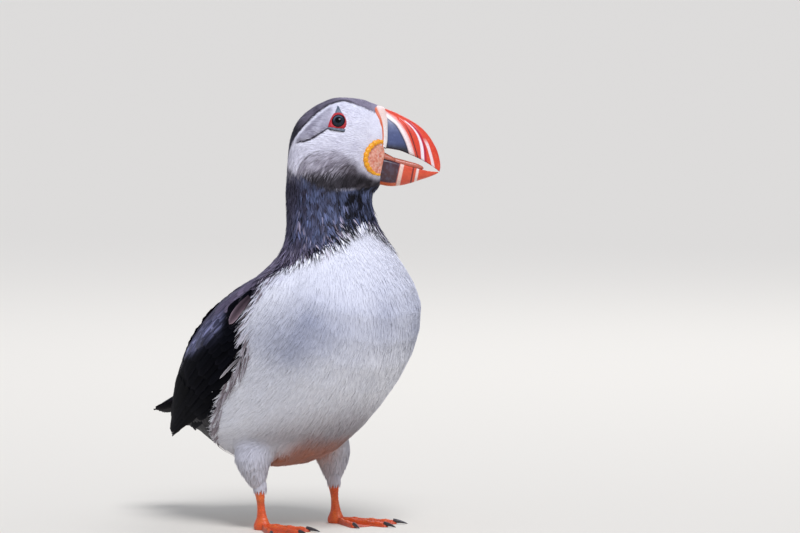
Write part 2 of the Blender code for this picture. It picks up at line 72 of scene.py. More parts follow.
def joined_flesh():
    """The flesh solids and eyeballs grown into each other, remeshed as one: points, faces, edges."""
    joined = bmesh.new()
    for node in (*FLESH, "eye_left", "eye_right"):
        bm = bmesh.new()
        bm.from_mesh(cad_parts[node].data)
        bmesh.ops.remove_doubles(bm, verts=bm.verts, dist=1e-6)
        bmesh.ops.recalc_face_normals(bm, faces=bm.faces)
        bm.normal_update()
        grown = GROWN.get(node, LEAST_GROWN)
        for v, place in [(v, v.co + v.normal * grown * MM) for v in bm.verts]:
            v.co = place
        solid = bpy.data.meshes.new("solid")
        bm.to_mesh(solid)
        bm.free()
        joined.from_mesh(solid)
        bpy.data.meshes.remove(solid)
    mesh = bpy.data.meshes.new("flesh")
    joined.to_mesh(mesh)
    joined.free()
    body = bpy.data.objects.new("flesh", mesh)
    bpy.context.scene.collection.objects.link(body)
    remesh = body.modifiers.new("remesh", "REMESH")
    remesh.mode = "VOXEL"
    remesh.voxel_size = SKIN_CELL * MM
    evaluated = body.evaluated_get(bpy.context.evaluated_depsgraph_get())
    made = bpy.data.meshes.new_from_object(evaluated)
    bpy.data.objects.remove(body)
    points = np.empty(len(made.vertices) * 3, np.float32)
    made.vertices.foreach_get("co", points)
    faces = np.empty(len(made.loops), np.int32)
    made.loops.foreach_get("vertex_index", faces)
    edges = np.empty(len(made.edges) * 2, np.int32)
    made.edges.foreach_get("vertices", edges)
    return points.reshape(-1, 3).astype(float), faces.reshape(-1, 4), edges.reshape(-1, 2)


def relaxed(values, edges, rounds):
    """Each point's values drawn towards the mean of its neighbours'."""
    count = np.bincount(edges.ravel(), minlength=len(values))[:, None]
    for _ in range(rounds):
        total = np.zeros_like(values)
        np.add.at(total, edges[:, 0], values[edges[:, 1]])
        np.add.at(total, edges[:, 1], values[edges[:, 0]])
        values = 0.5 * values + 0.5 * total / np.maximum(count, 1)
    return values


def unit(vectors):
    return vectors / np.maximum(np.linalg.norm(vectors, axis=-1, keepdims=True), 1e-12)


def point_normals(points, faces):
    """Outward unit normals at the points of a mesh of quads."""
    a, b, c, d = (points[faces[:, k]] for k in range(4))
    crossed = np.cross(c - a, d - b)
    total = np.zeros_like(points)
    for corner in range(4):
        np.add.at(total, faces[:, corner], crossed)
    return unit(total)


def flesh_distance(points):
    """Millimetres from each point to the frame's own flesh."""
    trees = []
    for node in FLESH:
        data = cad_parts[node].data
        corners = [v.co.copy() for v in data.vertices]
        trees.append(BVHTree.FromPolygons(corners, [list(f.vertices) for f in data.polygons]))
    found = [min(tree.find_nearest(Vector(p))[3] for tree in trees) for p in points]
    return np.array(found) / MM


# A puffin's head turns freely on its neck, so the head has its own axes: ahead to the bill, to
# the bird's left, and up. They come from the two eyes. The body is measured from its ankles.
EYE_BALL_AT = (1.79, 12.52)  # each eye ball's middle, ahead of and above the head's centre


def middle(node):
    low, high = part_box(node)
    return np.array((low + high) / 2)


HEAD_LEFT = unit(middle("eye_left") - middle("eye_right"))
HEAD_AHEAD = unit(np.cross(HEAD_LEFT, (0, 0, 1)))
HEAD_UP = np.cross(HEAD_AHEAD, HEAD_LEFT)
HEAD_AXES = np.array([HEAD_AHEAD, HEAD_LEFT, HEAD_UP])
HEAD_CENTRE = (middle("eye_left") + middle("eye_right")) / 2
HEAD_CENTRE = HEAD_CENTRE - (HEAD_AHEAD * EYE_BALL_AT[0] + HEAD_UP * EYE_BALL_AT[1]) * MM
ANKLE_Y = (middle("tarsus_left")[1] + middle("tarsus_right")[1]) / 2


def to_head(points):
    """Millimetres ahead of, left of and above the head's centre."""
    return ((points - HEAD_CENTRE) @ HEAD_AXES.T / MM).T


def to_body(points):
    """Millimetres to the bird's left, ahead of its ankles, and above the floor."""
    return points[..., 0] / MM, (ANKLE_Y - points[..., 1]) / MM, points[..., 2] / MM


def ramp(value, low, high):
    """0 below low and 1 above high, with a smooth change between."""
    share = np.clip((value - low) / (high - low), 0, 1)
    return share * share * (3 - 2 * share)


def smooth_curve(points, steps=6):
    """A smooth curve through a few points, as more points."""
    rows = np.array(points, float)
    ends = np.vstack([2 * rows[0] - rows[1], rows, 2 * rows[-1] - rows[-2]])
    found = []
    for a, b, c, d in zip(ends, ends[1:], ends[2:], ends[3:]):
        for t in np.arange(steps) / steps:
            bend = (2 * a - 5 * b + 4 * c - d) * t**2 + (3 * b - a - 3 * c + d) * t**3
            found.append(0.5 * (2 * b + (c - a) * t + bend))
    return np.array([*found, rows[-1]])


def against_curve(x, y, points):
    """Distance from a curve through these points, positive on its left, and the share along it."""
    line = smooth_curve(points, 3)
    best = np.full(np.shape(x), 1e9)
    signed = np.zeros(np.shape(x))
    along = np.zeros(np.shape(x))
    for k, ((x0, y0), (x1, y1)) in enumerate(zip(line, line[1:])):
        dx, dy = x1 - x0, y1 - y0
        share = np.clip(((x - x0) * dx + (y - y0) * dy) / (dx * dx + dy * dy), 0, 1)
        distance = np.hypot(x - x0 - dx * share, y - y0 - dy * share)
        turn = np.sign(dx * (y - y0) - dy * (x - x0))
        nearer = distance < best - 1e-6
        signed = np.where(nearer, turn * distance, signed)
        along = np.where(nearer, (k + share) / (len(line) - 1), along)
        best = np.minimum(best, distance)
    return signed, along


def off_curve(x, y, points):
    return against_curve(x, y, points)[0]


# The folded wing's middle line, ahead of the ankles and above the floor, and its half chord there.
WING_LINE = [
    (42, 149), (34, 144), (21, 135), (3, 120), (-19, 103), (-41, 86), (-60, 72), (-76, 60), (-88, 51),
]
WING_HALF = [4, 12, 19, 25, 26, 22.5, 15.5, 8, 3]


def half_chord(along):
    return np.interp(along, np.linspace(0, 1, len(WING_HALF)), WING_HALF)


def wing_place(front, height):
    """Share along the folded wing, and place across it: -1 at its upper edge, 1 at its lower."""
    signed, along = against_curve(front, height, WING_LINE)
    return along, signed / half_chord(along)


def filled(points, faces, edges):
    """The points, raised where the folded wings meet the body, so that no hollow is left there."""
    side, front, height = to_body(points)
    along, across = wing_place(front, height)
    share = ramp(np.abs(side), 10, 16) * ramp(along, 0.06, 0.16) * ramp(-along, -0.9, -0.78)
    share = share * ramp(-np.abs(across), -1.9, -1.5) * ramp(-height, -158, -146)
    count = np.bincount(edges.ravel(), minlength=len(points))
    for _ in range(FILL_ROUNDS):
        total = np.empty_like(points)
        for k in range(3):
            total[:, k] = np.bincount(edges[:, 0], points[edges[:, 1], k], len(points))
            total[:, k] += np.bincount(edges[:, 1], points[edges[:, 0], k], len(points))
        shift = total / count[:, None] - points
        normals = point_normals(points, faces)
        outward = (shift * normals).sum(1)
        inwards = np.minimum(outward, 0)[:, None] * normals
        points = points + 0.7 * share[:, None] * (shift - inwards)
    return points


def crest_height(points, normals):
    """How far the full feathers of the crown and nape raise the outline, in millimetres."""
    ahead, _, up = to_head(points)
    top = 1 - np.abs(normals @ HEAD_LEFT) ** 2
    nape = 2.3 * np.exp(-(((ahead + 20) / 12) ** 2) - ((up - 13) / 12) ** 2)
    crown = 1.2 * np.exp(-(((ahead - 1) / 13) ** 2) - ((up - 26) / 9) ** 2)
    brow = 0.8 * np.exp(-(((ahead - 20) / 7) ** 2) - ((up - 21) / 5) ** 2)
    hindneck = 1.2 * np.exp(-(((ahead + 29) / 8) ** 2) - ((up + 30) / 14) ** 2)
    return (nape + crown + brow + hindneck) * top


# The furrow behind the eye, where the upper feathers lap over the cheek.
FURROW = [(-4.6, 9.4), (-9.5, 6.2), (-13.9, 3.5), (-17.1, 2.3), (-20.9, 1.7), (-25, 0.5)]
FURROW_DEPTH = 1.0
FOLD_HEIGHT = 0.55


def fold_height(points):
    """How far the furrow lowers the surface and the fold above it raises it, in millimetres."""
    ahead, left, up = to_head(points)
    near = (np.abs(left) > 6) & (ahead > -27) & (ahead < -2) & (np.abs(up - 5) < 16)
    height = np.zeros(len(points))
    above = -off_curve(ahead[near], up[near], FURROW)
    ends = ramp(-ahead[near], 4, 7.5) * ramp(ahead[near], -25, -18)
    groove = -FURROW_DEPTH * np.exp(-(((above + 0.3) / 0.9) ** 2))
    lap = FOLD_HEIGHT * ramp(above, -0.1, 1.0) * ramp(-above, -7, -1)
    height[near] = (groove + lap) * ends
    return height


skin_points, skin_faces, skin_edges = joined_flesh()
skin_points = relaxed(skin_points, skin_edges, SMOOTH_ROUNDS)
skin_normals = point_normals(skin_points, skin_faces)
back_in = np.minimum(flesh_distance(skin_points), max(GROWN.values()))
back_in = relaxed(back_in[:, None], skin_edges, 3)[:, 0]
skin_points = skin_points - skin_normals * back_in[:, None] * MM
skin_points = filled(skin_points, skin_faces, skin_edges)
ahead, _, up = to_head(skin_points)
forward = BILL_RIM_REACH * ramp(ahead, 20.5, 25) * ramp(up, -2.5, 0.5) * ramp(-up, -18.5, -14)
skin_points += HEAD_AHEAD * (forward * MM)[:, None]
skin_normals = unit(relaxed(point_normals(skin_points, skin_faces), skin_edges, 1))

full_tree = BVHTree.FromPolygons(skin_points.tolist(), skin_faces.tolist())
thickness = np.full(len(skin_points), 20.0)
for k, (point, normal) in enumerate(zip(skin_points, skin_normals)):
    hit = full_tree.ray_cast(Vector(point - normal * 0.05 * MM), Vector(-normal))
    if hit[0] is not None:
        thickness[k] = hit[3] / MM
head_share = ramp(to_head(skin_points)[2], -34, -24)
inset = BODY_COAT + (HEAD_COAT - BODY_COAT) * head_share
inset *= 1 - head_share * ramp(to_head(skin_points)[0], 21, 24.5)
inset = relaxed(np.minimum(inset, COAT_SHARE * thickness)[:, None], skin_edges, 3)[:, 0]
skin_points = skin_points - skin_normals * inset[:, None] * MM
raised = crest_height(skin_points, skin_normals) + fold_height(skin_points)
skin_points += skin_normals * raised[:, None] * MM
skin_normals = unit(relaxed(point_normals(skin_points, skin_faces), skin_edges, 1))

# Markings: black above, a white breast and belly, a grey-white face under a dark cap, and a black
# collar. Skin and feathers take their colour from the same rules, so what shows between agrees.
# The face patch, from the top of the bill over the eye and down the nape, then along the jaw.
FACE_EDGE = [
    (31, 14.2), (23.2, 18.4), (17.5, 20.9), (11.2, 23.4), (7.4, 24.8), (3.4, 25.2), (-2.6, 23.6),
    (-7.6, 20.7), (-12.7, 16.5), (-17.1, 12.1), (-21.2, 7.7), (-24, 3.9), (-26.2, -0.8), (-27.5, -5.8),
    (-28.3, -10.8), (-26.8, -14.4), (-23.8, -16.6), (-20.2, -18.2), (-16.5, -21.5), (-11.4, -24),
    (-5.8, -25.6), (2.4, -26.2), (10.6, -25.6), (19, -24.4), (27, -22.5), (34, -22.5),
]
# The upper edge of the cheek, dark below a pale band.
CHEEK_EDGE = [
    (-23.6, -17.5), (-21.6, -13.2), (-19.4, -9.4), (-15.3, -5.4), (-9, -2.4), (-1, -1.8), (8, -4.6),
    (13.2, -9.2), (15.8, -14.4), (19.5, -17.9), (25, -19.4), (33, -20),
]
# Where black gives way to white on the body: round the throat, down the wing, under the tail.
DARK_EDGE = [
    (70, 179), (53, 178), (51.5, 170), (45.7, 163.7), (39.5, 160.3), (31.5, 156), (24.5, 151.3),
    (19, 142.5), (14.2, 132.5), (11.5, 123), (9.6, 110), (5, 99.5), (-11, 84.8), (-20, 72.5), (-27, 63),
    (-37, 50), (-52, 45), (-70, 50), (-92, 58), (-130, 55),
]
# The lower edge of the mantle, which laps over the folded wing.
MANTLE_EDGE = [
    (60, 152), (40, 149), (30, 148), (19.7, 144.4), (6.6, 137.5), (-1.6, 128.1), (-17.4, 121.3),
    (-33.7, 112.6), (-40.2, 106.3), (-48, 97), (-60, 84), (-80, 72),
]


def noise(points, size, seed):
    """Smooth noise from -1 to 1, with lumps of this size in millimetres."""
    cells = points / (size * MM) + 31.7 * seed
    base = np.floor(cells).astype(np.int64)
    part = cells - base
    part = part * part * (3 - 2 * part)
    total = np.zeros(len(points))
    for corner in range(8):
        step = np.array([corner & 1, corner >> 1 & 1, corner >> 2 & 1])
        mixed = ((base + step) * (73856093, 19349663, 83492791)).sum(1) + seed * 7919
        mixed = (mixed ^ (mixed >> 13)) * 1274126177 & 0x7FFFFFFF
        value = ((mixed ^ (mixed >> 15)) & 65535) / 32767.5 - 1
        total += value * np.where(step, part, 1 - part).prod(1)
    return total


def linear(code):
    """The linear colour of an sRGB hex code."""
    parts = np.array([int(code[k : k + 2], 16) for k in (1, 3, 5)]) / 255
    return np.where(parts <= 0.04045, parts / 12.92, ((parts + 0.055) / 1.055) ** 2.4)


def blend(base, code, share):
    return base + (linear(code) - base) * np.clip(share, 0, 1)[:, None]


def plain(code, count):
    """One colour for this many points, to blend others over."""
    return np.tile(linear(code), (count, 1))


def face_colour(ahead, up, ruffle):
    """Colours inside the face patch: grey-white, with a grey wedge behind the eye and dark jaws."""
    colour = plain("#f2f0f8", len(ahead))
    colour = blend(colour, "#cfcbd9", 0.3 * ramp(ruffle, -0.2, 1) + 0.35 * ramp(-up, -8, 4))
    inside = off_curve(ahead, up, FACE_EDGE)
    above = -off_curve(ahead, up, FURROW)
    wedge = ramp(above, 0, 0.5) * ramp(-ahead, 0.5, 4.5) * ramp(inside, 0.9, 1.9) * ramp(ahead, -26, -22)
    colour = blend(colour, "#9d98a7", wedge * (0.85 + 0.3 * ruffle))
    under = ramp(-above, 0, 0.6) * ramp(above, -4, -1) * ramp(-ahead, 4, 7)
    colour = blend(colour, "#f6f4fb", 0.7 * under)
    below = -off_curve(ahead, up, CHEEK_EDGE)
    cheek = ramp(below, -0.8, 1.0 + 4.5 * ramp(ahead, -17, -8) * ramp(-ahead, -16, -11))
    colour = blend(colour, "#98919c", cheek * (0.85 + 0.3 * ruffle))
    jaw = ramp(below, 0.5, 6) * ramp(0.3 * ahead - up, 7, 17)
    colour = blend(colour, "#4b4248", jaw * (0.95 + 0.25 * ruffle))
    throat = ramp(-up, 13, 20) * ramp(below, -0.5, 2.5)
    colour = blend(colour, "#1d181c", throat * (0.9 + 0.25 * ruffle))
    crisp = ramp(0.8 - np.abs(below - 0.5), 0, 0.8) * ramp(-ahead, 13, 17) * ramp(up, -18, -14)
    colour = blend(colour, "#4a434b", 0.7 * crisp)
    # Painted shade: a dark line in the crease of the furrow behind the eye.
    line = ramp(0.5 - np.abs(above - 0.1), 0, 0.3) * ramp(-ahead, 3.6, 4.6) * ramp(ahead, -23, -20)
    return blend(colour, "#38323c", line)


def white_colour(side, front, height, fine, broad):
    """White underparts with painted shade below the swell of the breast, under the belly and on the thighs;
    brown on the flank and low belly.
    """
    colour = plain("#f3f3f8", len(side))
    # Painted shade: a lilac-grey band in the hollow below the swell of the breast.
    level = (60, 80, 90, 98, 105, 111, 118, 128, 140, 152)
    hollow = np.interp(height - 0.2 * front, level, (0.2, 0.2, 0.3, 0.6, 0.9, 1, 0.92, 0.65, 0.3, 0))
    hollow = hollow * (0.5 + 0.5 * np.exp(-(((front - 50) / 14) ** 2)))
    colour = blend(colour, "#9ca1b6", hollow * (0.95 + 0.2 * broad) + 0.08 * ramp(broad, -0.3, 1))
    # Painted shade darkens the underside of the belly, less on the thighs, and greys the thighs themselves.
    belly = ramp(0.3 * front - height, -70, -42) * ramp(-np.abs(side), -50, -34)
    thigh = ramp(-height, -60, -50) * ramp(np.abs(side), 16, 22)
    colour = blend(colour, "#7f7478", 0.9 * belly * (1 - 0.75 * thigh))
    colour = blend(colour, "#a5a0a8", 0.35 * thigh)
    edge = -off_curve(front, height, DARK_EDGE)
    flank = ramp(9 + 3 * fine + edge, 0, 6) * ramp(-height, -132, -112)
    colour = blend(colour, "#857a80", 0.6 * flank * ramp(fine + 0.25 * broad, -0.2, 0.5))
    stain = ramp(0.2 * front - height - 3 * broad, -56, -42)
    stain = stain * ramp(front, -34, -8) * ramp(-np.abs(side), -28, -16)
    return blend(colour, "#ad6a4b", 0.88 * stain * (0.9 + 0.25 * broad + 0.2 * fine))


def black_colour(side, front, height, fine, broad):
    """Black upperparts, lilac-grey from wear on mantle and shoulder, with painted light on the shoulder and a
    painted blue sheen on the neck.
    """
    colour = plain("#0c0b11", len(side))
    mantle = ramp(-off_curve(front, height, MANTLE_EDGE), -1, 1.5) * ramp(height, 92, 112)
    lilac = mantle * ramp(np.abs(side), 8, 30) * (0.7 + 0.3 * ramp(front, -35, 0))
    colour = blend(colour, "#4b475a", lilac * (0.75 + 0.2 * fine + 0.2 * broad))
    # The shoulder's mauve-brown wear, brightened by painted light from the sky.
    shoulder = mantle * ramp(front, -26, 8) * ramp(height, 116, 134) * ramp(-height, -172, -160)
    colour = blend(colour, "#82768a", 0.85 * shoulder * (0.35 + 0.65 * ramp(fine, -0.6, 0.8)))
    neck = ramp(height, 150, 168) * ramp(-height, -216, -206)
    # A painted blue sheen in patches on the neck.
    colour = blend(colour, "#535b78", neck * ramp(front, 19, 33) * ramp(fine + 0.5 * broad, -0.5, 0.7))
    flecks = ramp(-height, -192, -176) * ramp(front, 18, 30) * ramp(fine, 0.35, 0.7)
    return blend(colour, "#a093a0", neck * flecks * 0.7)


def cap_colour(ahead, up, face, fine):
    """The dark cap, with a painted grey reflection of the sky by the bill, darkest on the nape and along the
    edge of the face.
    """
    # Painted reflection: the black cap is grey by the bill and fades to black towards the nape.
    colour = plain("#9b92a3", len(ahead))
    colour = blend(colour, "#5c5563", ramp(-ahead, -8, 10) * (0.8 + 0.3 * fine))
    colour = blend(colour, "#15141c", ramp(-ahead - 0.45 * up, 11, 21))
    return blend(colour, "#29242e", ramp(1.5 + face, 0, 0.9) * (0.35 + 0.6 * ramp(-ahead, -16, 0)))


def plumage(points):
    """Linear colours of the plumage at these places."""
    ahead, _, up = to_head(points)
    side, front, height = to_body(points)
    fine = noise(points, 2.2, 1)
    broad = noise(points, 14, 2)
    colour = white_colour(side, front, height, fine, broad)
    dark = ramp(1.1 * fine - off_curve(front, height, DARK_EDGE), -0.4, 0.4)
    under_tail = ramp(-front, 49, 53) * ramp(-height, -67, -63) * ramp(np.abs(side), 9, 12)
    dark = np.maximum(dark, under_tail)
    colour += (black_colour(side, front, height, fine, broad) - colour) * dark[:, None]
    head = ramp(up, -45, -38) * ramp(-np.linalg.norm(to_head(points), axis=0), -52, -48)
    face = off_curve(ahead, up, FACE_EDGE)
    crown = ramp(-face, -0.2, 0.2) * head * ramp(up + 0.6 * np.minimum(ahead + 20, 0), -4, 4)
    colour += (cap_colour(ahead, up, face, fine) - colour) * crown[:, None]
    inside = ramp(face, -0.2, 0.2) * head
    colour += (face_colour(ahead, up, fine) - colour) * inside[:, None]
    chin = ramp(0.6 - np.abs(face), 0, 0.5) * ramp(-up, 22, 24.5) * ramp(ahead, -8, -4)
    return blend(colour, "#a9a6b2", chin * ramp(-ahead, -13, -10) * head * 0.75 * ramp(fine, -0.6, 0.3))


def build_mesh(name, points, faces):
    """A smooth-shaded mesh from arrays of points and of faces with the same number of corners."""
    mesh = bpy.data.meshes.new(name)
    mesh.vertices.add(len(points))
    mesh.vertices.foreach_set("co", np.ascontiguousarray(points, np.float32).ravel())
    mesh.loops.add(faces.size)
    mesh.loops.foreach_set("vertex_index", np.ascontiguousarray(faces, np.int32).ravel())
    mesh.polygons.add(len(faces))
    mesh.polygons.foreach_set("loop_start", np.arange(len(faces), dtype=np.int32) * faces.shape[1])
    mesh.update(calc_edges=True)
    mesh.shade_smooth()
    return mesh


def show(name, mesh, material, replaced=()):
    """Puts a finished piece on the bird."""
    piece = bpy.data.objects.new(name, mesh)
    bpy.context.scene.collection.objects.link(piece)
    mesh.materials.append(material)
    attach(piece, "root")
    if replaced:
        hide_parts(*replaced)


def paint(mesh, colours):
    """Stores each point's linear colour for the material to read."""
    layer = mesh.color_attributes.new("colour", "FLOAT_COLOR", "POINT")
    rgba = np.ones((len(mesh.vertices), 4), np.float32)
    rgba[:, :3] = np.clip(colours, 0, 1)
    layer.data.foreach_set("color", rgba.ravel())


def new_material(name, roughness):
    material = bpy.data.materials.new(name)
    material.use_nodes = True
    shader = material.node_tree.nodes["Principled BSDF"]
    shader.inputs["Roughness"].default_value = roughness
    return material, material.node_tree, shader


def add(tree, kind, inputs=None, **settings):
    """A node with its settings, and its inputs set to values or linked to other nodes' outputs."""
    made = tree.nodes.new(kind)
    for name, value in settings.items():
        setattr(made, name, value)
    for socket, value in (inputs or {}).items():
        if isinstance(value, bpy.types.NodeSocket):
            tree.links.new(value, made.inputs[socket])
        else:
            made.inputs[socket].default_value = value
    return made


def shaded_by(tree, shader, pattern, span, shades, relief, strength, sunk=False):
    """Scales the points' own colour by a pattern, which also stands out by relief in millimetres."""
    own = add(tree, "ShaderNodeAttribute", attribute_name="colour")
    limits = dict(zip(("From Min", "From Max", "To Min", "To Max"), (*span, *shades)))
    shade = add(tree, "ShaderNodeMapRange", {"Value": pattern, **limits})
    parts = {"Factor": 1.0, "A": own.outputs["Color"], "B": shade.outputs["Result"]}
    tint = add(tree, "ShaderNodeMix", parts, data_type="RGBA", blend_type="MULTIPLY")
    tree.links.new(tint.outputs["Result"], shader.inputs["Base Color"])
    height = {"Height": pattern, "Distance": relief * MM, "Strength": strength}
    bump = add(tree, "ShaderNodeBump", height, invert=sunk)
    tree.links.new(bump.outputs["Normal"], shader.inputs["Normal"])


# Feathered skin: dry, thin and matt, with fine wrinkles, where it shows between feathers.
skin_material, tree, shader = new_material("feathered_skin", 0.85)
shader.inputs["Specular IOR Level"].default_value = 0.2
place = add(tree, "ShaderNodeTexCoord").outputs["Object"]
wrinkles = add(tree, "ShaderNodeTexNoise", {"Vector": place, "Scale": 1 / (SKIN_WRINKLE * MM)})
shaded_by(tree, shader, wrinkles.outputs["Fac"], (0, 1), (0.82, 1.0), 0.2, 0.4)

skin_mesh = build_mesh("skin", skin_points, skin_faces)
paint(skin_mesh, plumage(skin_points) * SKIN_TONE)
show("skin", skin_mesh, skin_material, FLESH)

# ---- breast, belly and flanks ---------------------------------------------------------------
# Dense white contour feathers whose hair-like tips lie flat and part into fine locks. They are
# soft and matt, with painted lilac-grey shade, and stained brown low on the belly.

BREAST_GAP = 1.05  # from one feather to the next
BREAST_LENGTH = 10.0
BREAST_WIDTH = 1.0
BREAST_LIFT = 0.65  # of the tip, over the skin
BELLY_TOP = 105.0  # above the floor, where the belly's mesh gives way to the breast's
SIDES = (("right", -1), ("left", 1))

# Feathers point away from the bill: back over the face, down the cheek and neck, down the
# breast and then back under the belly, and along the back to the tail. This is the body's
# middle line from the nape to the tail, ahead of the ankles and above the floor.
SPINE = [
    (25.7, 207), (26.7, 191), (29.7, 175.5), (37.5, 160), (38.5, 142), (27, 122), (8.5, 103),
    (-13.5, 84.5), (-37, 72.5), (-58.5, 67), (-77, 65.5), (-100, 62),
]
SPINE_REACH = 16.0  # how far each stretch of the spine rules the feathers' direction


def lie(points, normals):
    """The direction in which a feather lies at each point, along the surface."""
    _, front, height = to_body(points)
    line = np.array(SPINE, float)
    total = np.zeros((len(points), 2))
    for start, end in zip(line, line[1:]):
        centre = (start + end) / 2
        closeness = np.exp(-(((front - centre[0]) ** 2 + (height - centre[1]) ** 2) / SPINE_REACH**2))
        total += (closeness + 1e-12)[:, None] * unit(end - start)
    total = unit(total)
    body = np.stack([np.zeros(len(points)), -total[:, 0], total[:, 1]], 1)
    leg = ramp(-height, -52, -42)
    body = unit(body * (1 - leg)[:, None] + np.array([0, 0.25, -1.0]) * leg[:, None])
    ahead, _, up = to_head(points)
    low = np.clip((3 - up) / 26, 0, 1)
    rear = np.clip((12 - ahead) / 35, 0, 1)
    turn = np.maximum(low * (0.62 + 0.5 * rear), ramp(-ahead, 14, 30))
    turn = np.radians(90 * np.clip(turn, 0, 1))
    head = -np.cos(turn)[:, None] * HEAD_AHEAD - np.sin(turn)[:, None] * HEAD_UP
    share = ramp(up, -32, -20) * ramp(-np.linalg.norm(to_head(points), axis=0), -60, -50)
    mixed = body * (1 - share)[:, None] + head * share[:, None]
    return unit(mixed - normals * (mixed * normals).sum(1)[:, None])


guide_normals = unit(relaxed(skin_normals, skin_edges, 5))
skin_lookup = KDTree(len(skin_points))
for k, point in enumerate(skin_points):
    skin_lookup.insert(point, k)
skin_lookup.balance()


def snap(points):
    """The nearest places on the skin, and the normals there."""
    found = np.fromiter((skin_lookup.find(p)[1] for p in points), np.int64, len(points))
    normals = guide_normals[found]
    off = ((points - skin_points[found]) * normals).sum(1)
    return points - off[:, None] * normals, normals


def scatter(spacing, seed):
    """Even but irregular points over the skin. spacing gives millimetres at each face's middle."""
    corners = skin_points[skin_faces]
    crossed = np.cross(corners[:, 2] - corners[:, 0], corners[:, 3] - corners[:, 1])
    area = np.linalg.norm(crossed, axis=1) / 2
    gaps = spacing(corners.mean(1))
    wanted = np.where(gaps > 0, area / np.maximum(gaps * MM, 1e-9) ** 2, 0)
    total = np.cumsum(wanted)
    random = np.random.default_rng(seed)
    count = int(total[-1])
    face = np.searchsorted(total, np.arange(count) + random.random(count))
    a, b, c, d = corners[np.minimum(face, len(corners) - 1)].transpose(1, 0, 2)
    u = np.modf(np.arange(count) * 0.7548776662)[0][:, None]
    v = np.modf(np.arange(count) * 0.5698402910)[0][:, None]
    return a * (1 - u) * (1 - v) + b * u * (1 - v) + c * u * v + d * (1 - u) * v


def follow(roots, lengths, rows, sway):
    """Centre lines from the roots along the lie of the plumage: places and normals, row by row."""
    place, normal = snap(roots)
    lines, normals = [place], [normal]
    for _ in range(rows - 1):
        direction = lie(place, normal)
        across = np.cross(normal, direction)
        heading = unit(direction + across * sway[:, None])
        place, normal = snap(place + heading * (lengths * MM / (rows - 1))[:, None])
        lines.append(place)
        normals.append(normal)
    return np.stack(lines, 1), np.stack(normals, 1)


def blades(lines, normals, half_widths, heights, columns, camber, tilt=0.0):
    """Feathers across their centre lines, as a grid of points for each. Sizes in millimetres."""
    across = unit(np.cross(normals, np.gradient(lines, axis=1)))
    u = np.linspace(-1, 1, columns)
    wide = half_widths[:, :, None, None]
    arch = heights[:, :, None, None] + wide * (camber * (1 - u[:, None] ** 2) + tilt * u[:, None])
    spread = wide * u[:, None] * MM
    return lines[:, :, None] + across[:, :, None] * spread + normals[:, :, None] * arch * MM


def grid_faces(rows, columns, closed=False):
    """Quads over a grid of points, whose columns may close into a ring."""
    index = np.arange(rows * columns).reshape(rows, columns)
    if closed:
        index = np.hstack([index, index[:, :1]])
    corners = [index[:-1, :-1], index[:-1, 1:], index[1:, 1:], index[1:, :-1]]
    return np.stack(corners, -1).reshape(-1, 4)


BAKE_PATCH = 0.003  # each feather's share of the bake map


def unwrap(points, normals):
    """Places on a map of the skin's six sides, each side within its own part of the map."""
    axis = np.abs(normals).argmax(1)
    negative = normals[np.arange(len(normals)), axis] < 0
    low, high = points.min(0), points.max(0)
    share = (points - low) / np.maximum(high - low, 1e-9)
    first = np.where(axis == 0, share[:, 1], share[:, 0])
    second = np.where(axis == 2, share[:, 1], share[:, 2])
    return np.stack([axis / 3 + (0.02 + 0.96 * first) / 3, negative / 2 + (0.02 + 0.96 * second) / 2], 1)


def feather_mesh(name, points, colours, random):
    """One mesh of many feathers. points: (count, rows, columns, 3); colours: the same shape."""
    count, rows, columns, _ = points.shape
    first = np.arange(count)[:, None, None] * rows * columns
    faces = (first + grid_faces(rows, columns)).reshape(-1, 4)
    mesh = build_mesh(name, points.reshape(-1, 3), faces)
    paint(mesh, colours.reshape(-1, 3))
    vane = np.empty((count, rows, columns, 3), np.float32)
    vane[..., 0] = np.linspace(-1, 1, columns)
    vane[..., 1] = np.linspace(0, 1, rows)[:, None]
    vane[..., 2] = random.random(count)[:, None, None]
    layer = mesh.attributes.new("vane", "FLOAT_VECTOR", "POINT")
    layer.data.foreach_set("vector", vane.ravel())
    roots, normals = snap(points[:, 0, columns // 2])
    bake = unwrap(roots, normals)[:, None, None] + (vane[..., :2] * (0.5, 1) - (0, 0.5)) * BAKE_PATCH
    layer = mesh.uv_layers.new(name="OFBake")
    layer.data.foreach_set("uv", bake.reshape(-1, 2)[faces.ravel()].astype(np.float32).ravel())
    return mesh


def feather_material(name, roughness, width, barb, streak, sheen, sheen_tint, specular=0.3):
    """Feather: fine barbs across a vane of this width, drawn as streaks this many millimetres apart.

    Real barbs are a tenth of a millimetre apart, too fine to show, so they are drawn coarser.
    """
    material, tree, shader = new_material(name, roughness)
    shader.inputs["Specular IOR Level"].default_value = specular
    shader.inputs["Sheen Weight"].default_value = sheen
    shader.inputs["Sheen Roughness"].default_value = 0.4
    shader.inputs["Sheen Tint"].default_value = (*linear(sheen_tint), 1)
    vane = add(tree, "ShaderNodeAttribute", attribute_name="vane")
    scale = (width / 2 / barb, 1.3, 60)
    grain = add(tree, "ShaderNodeMapping", {"Vector": vane.outputs["Vector"], "Scale": scale})
    barbs = {"Vector": grain.outputs["Vector"], "Scale": 1.0, "Detail": 3.0}
    barbs = add(tree, "ShaderNodeTexNoise", barbs).outputs["Fac"]
    shaded_by(tree, shader, barbs, (0.3, 0.7), (1 - streak, 1 + streak), 0.12, 0.5)
    return material


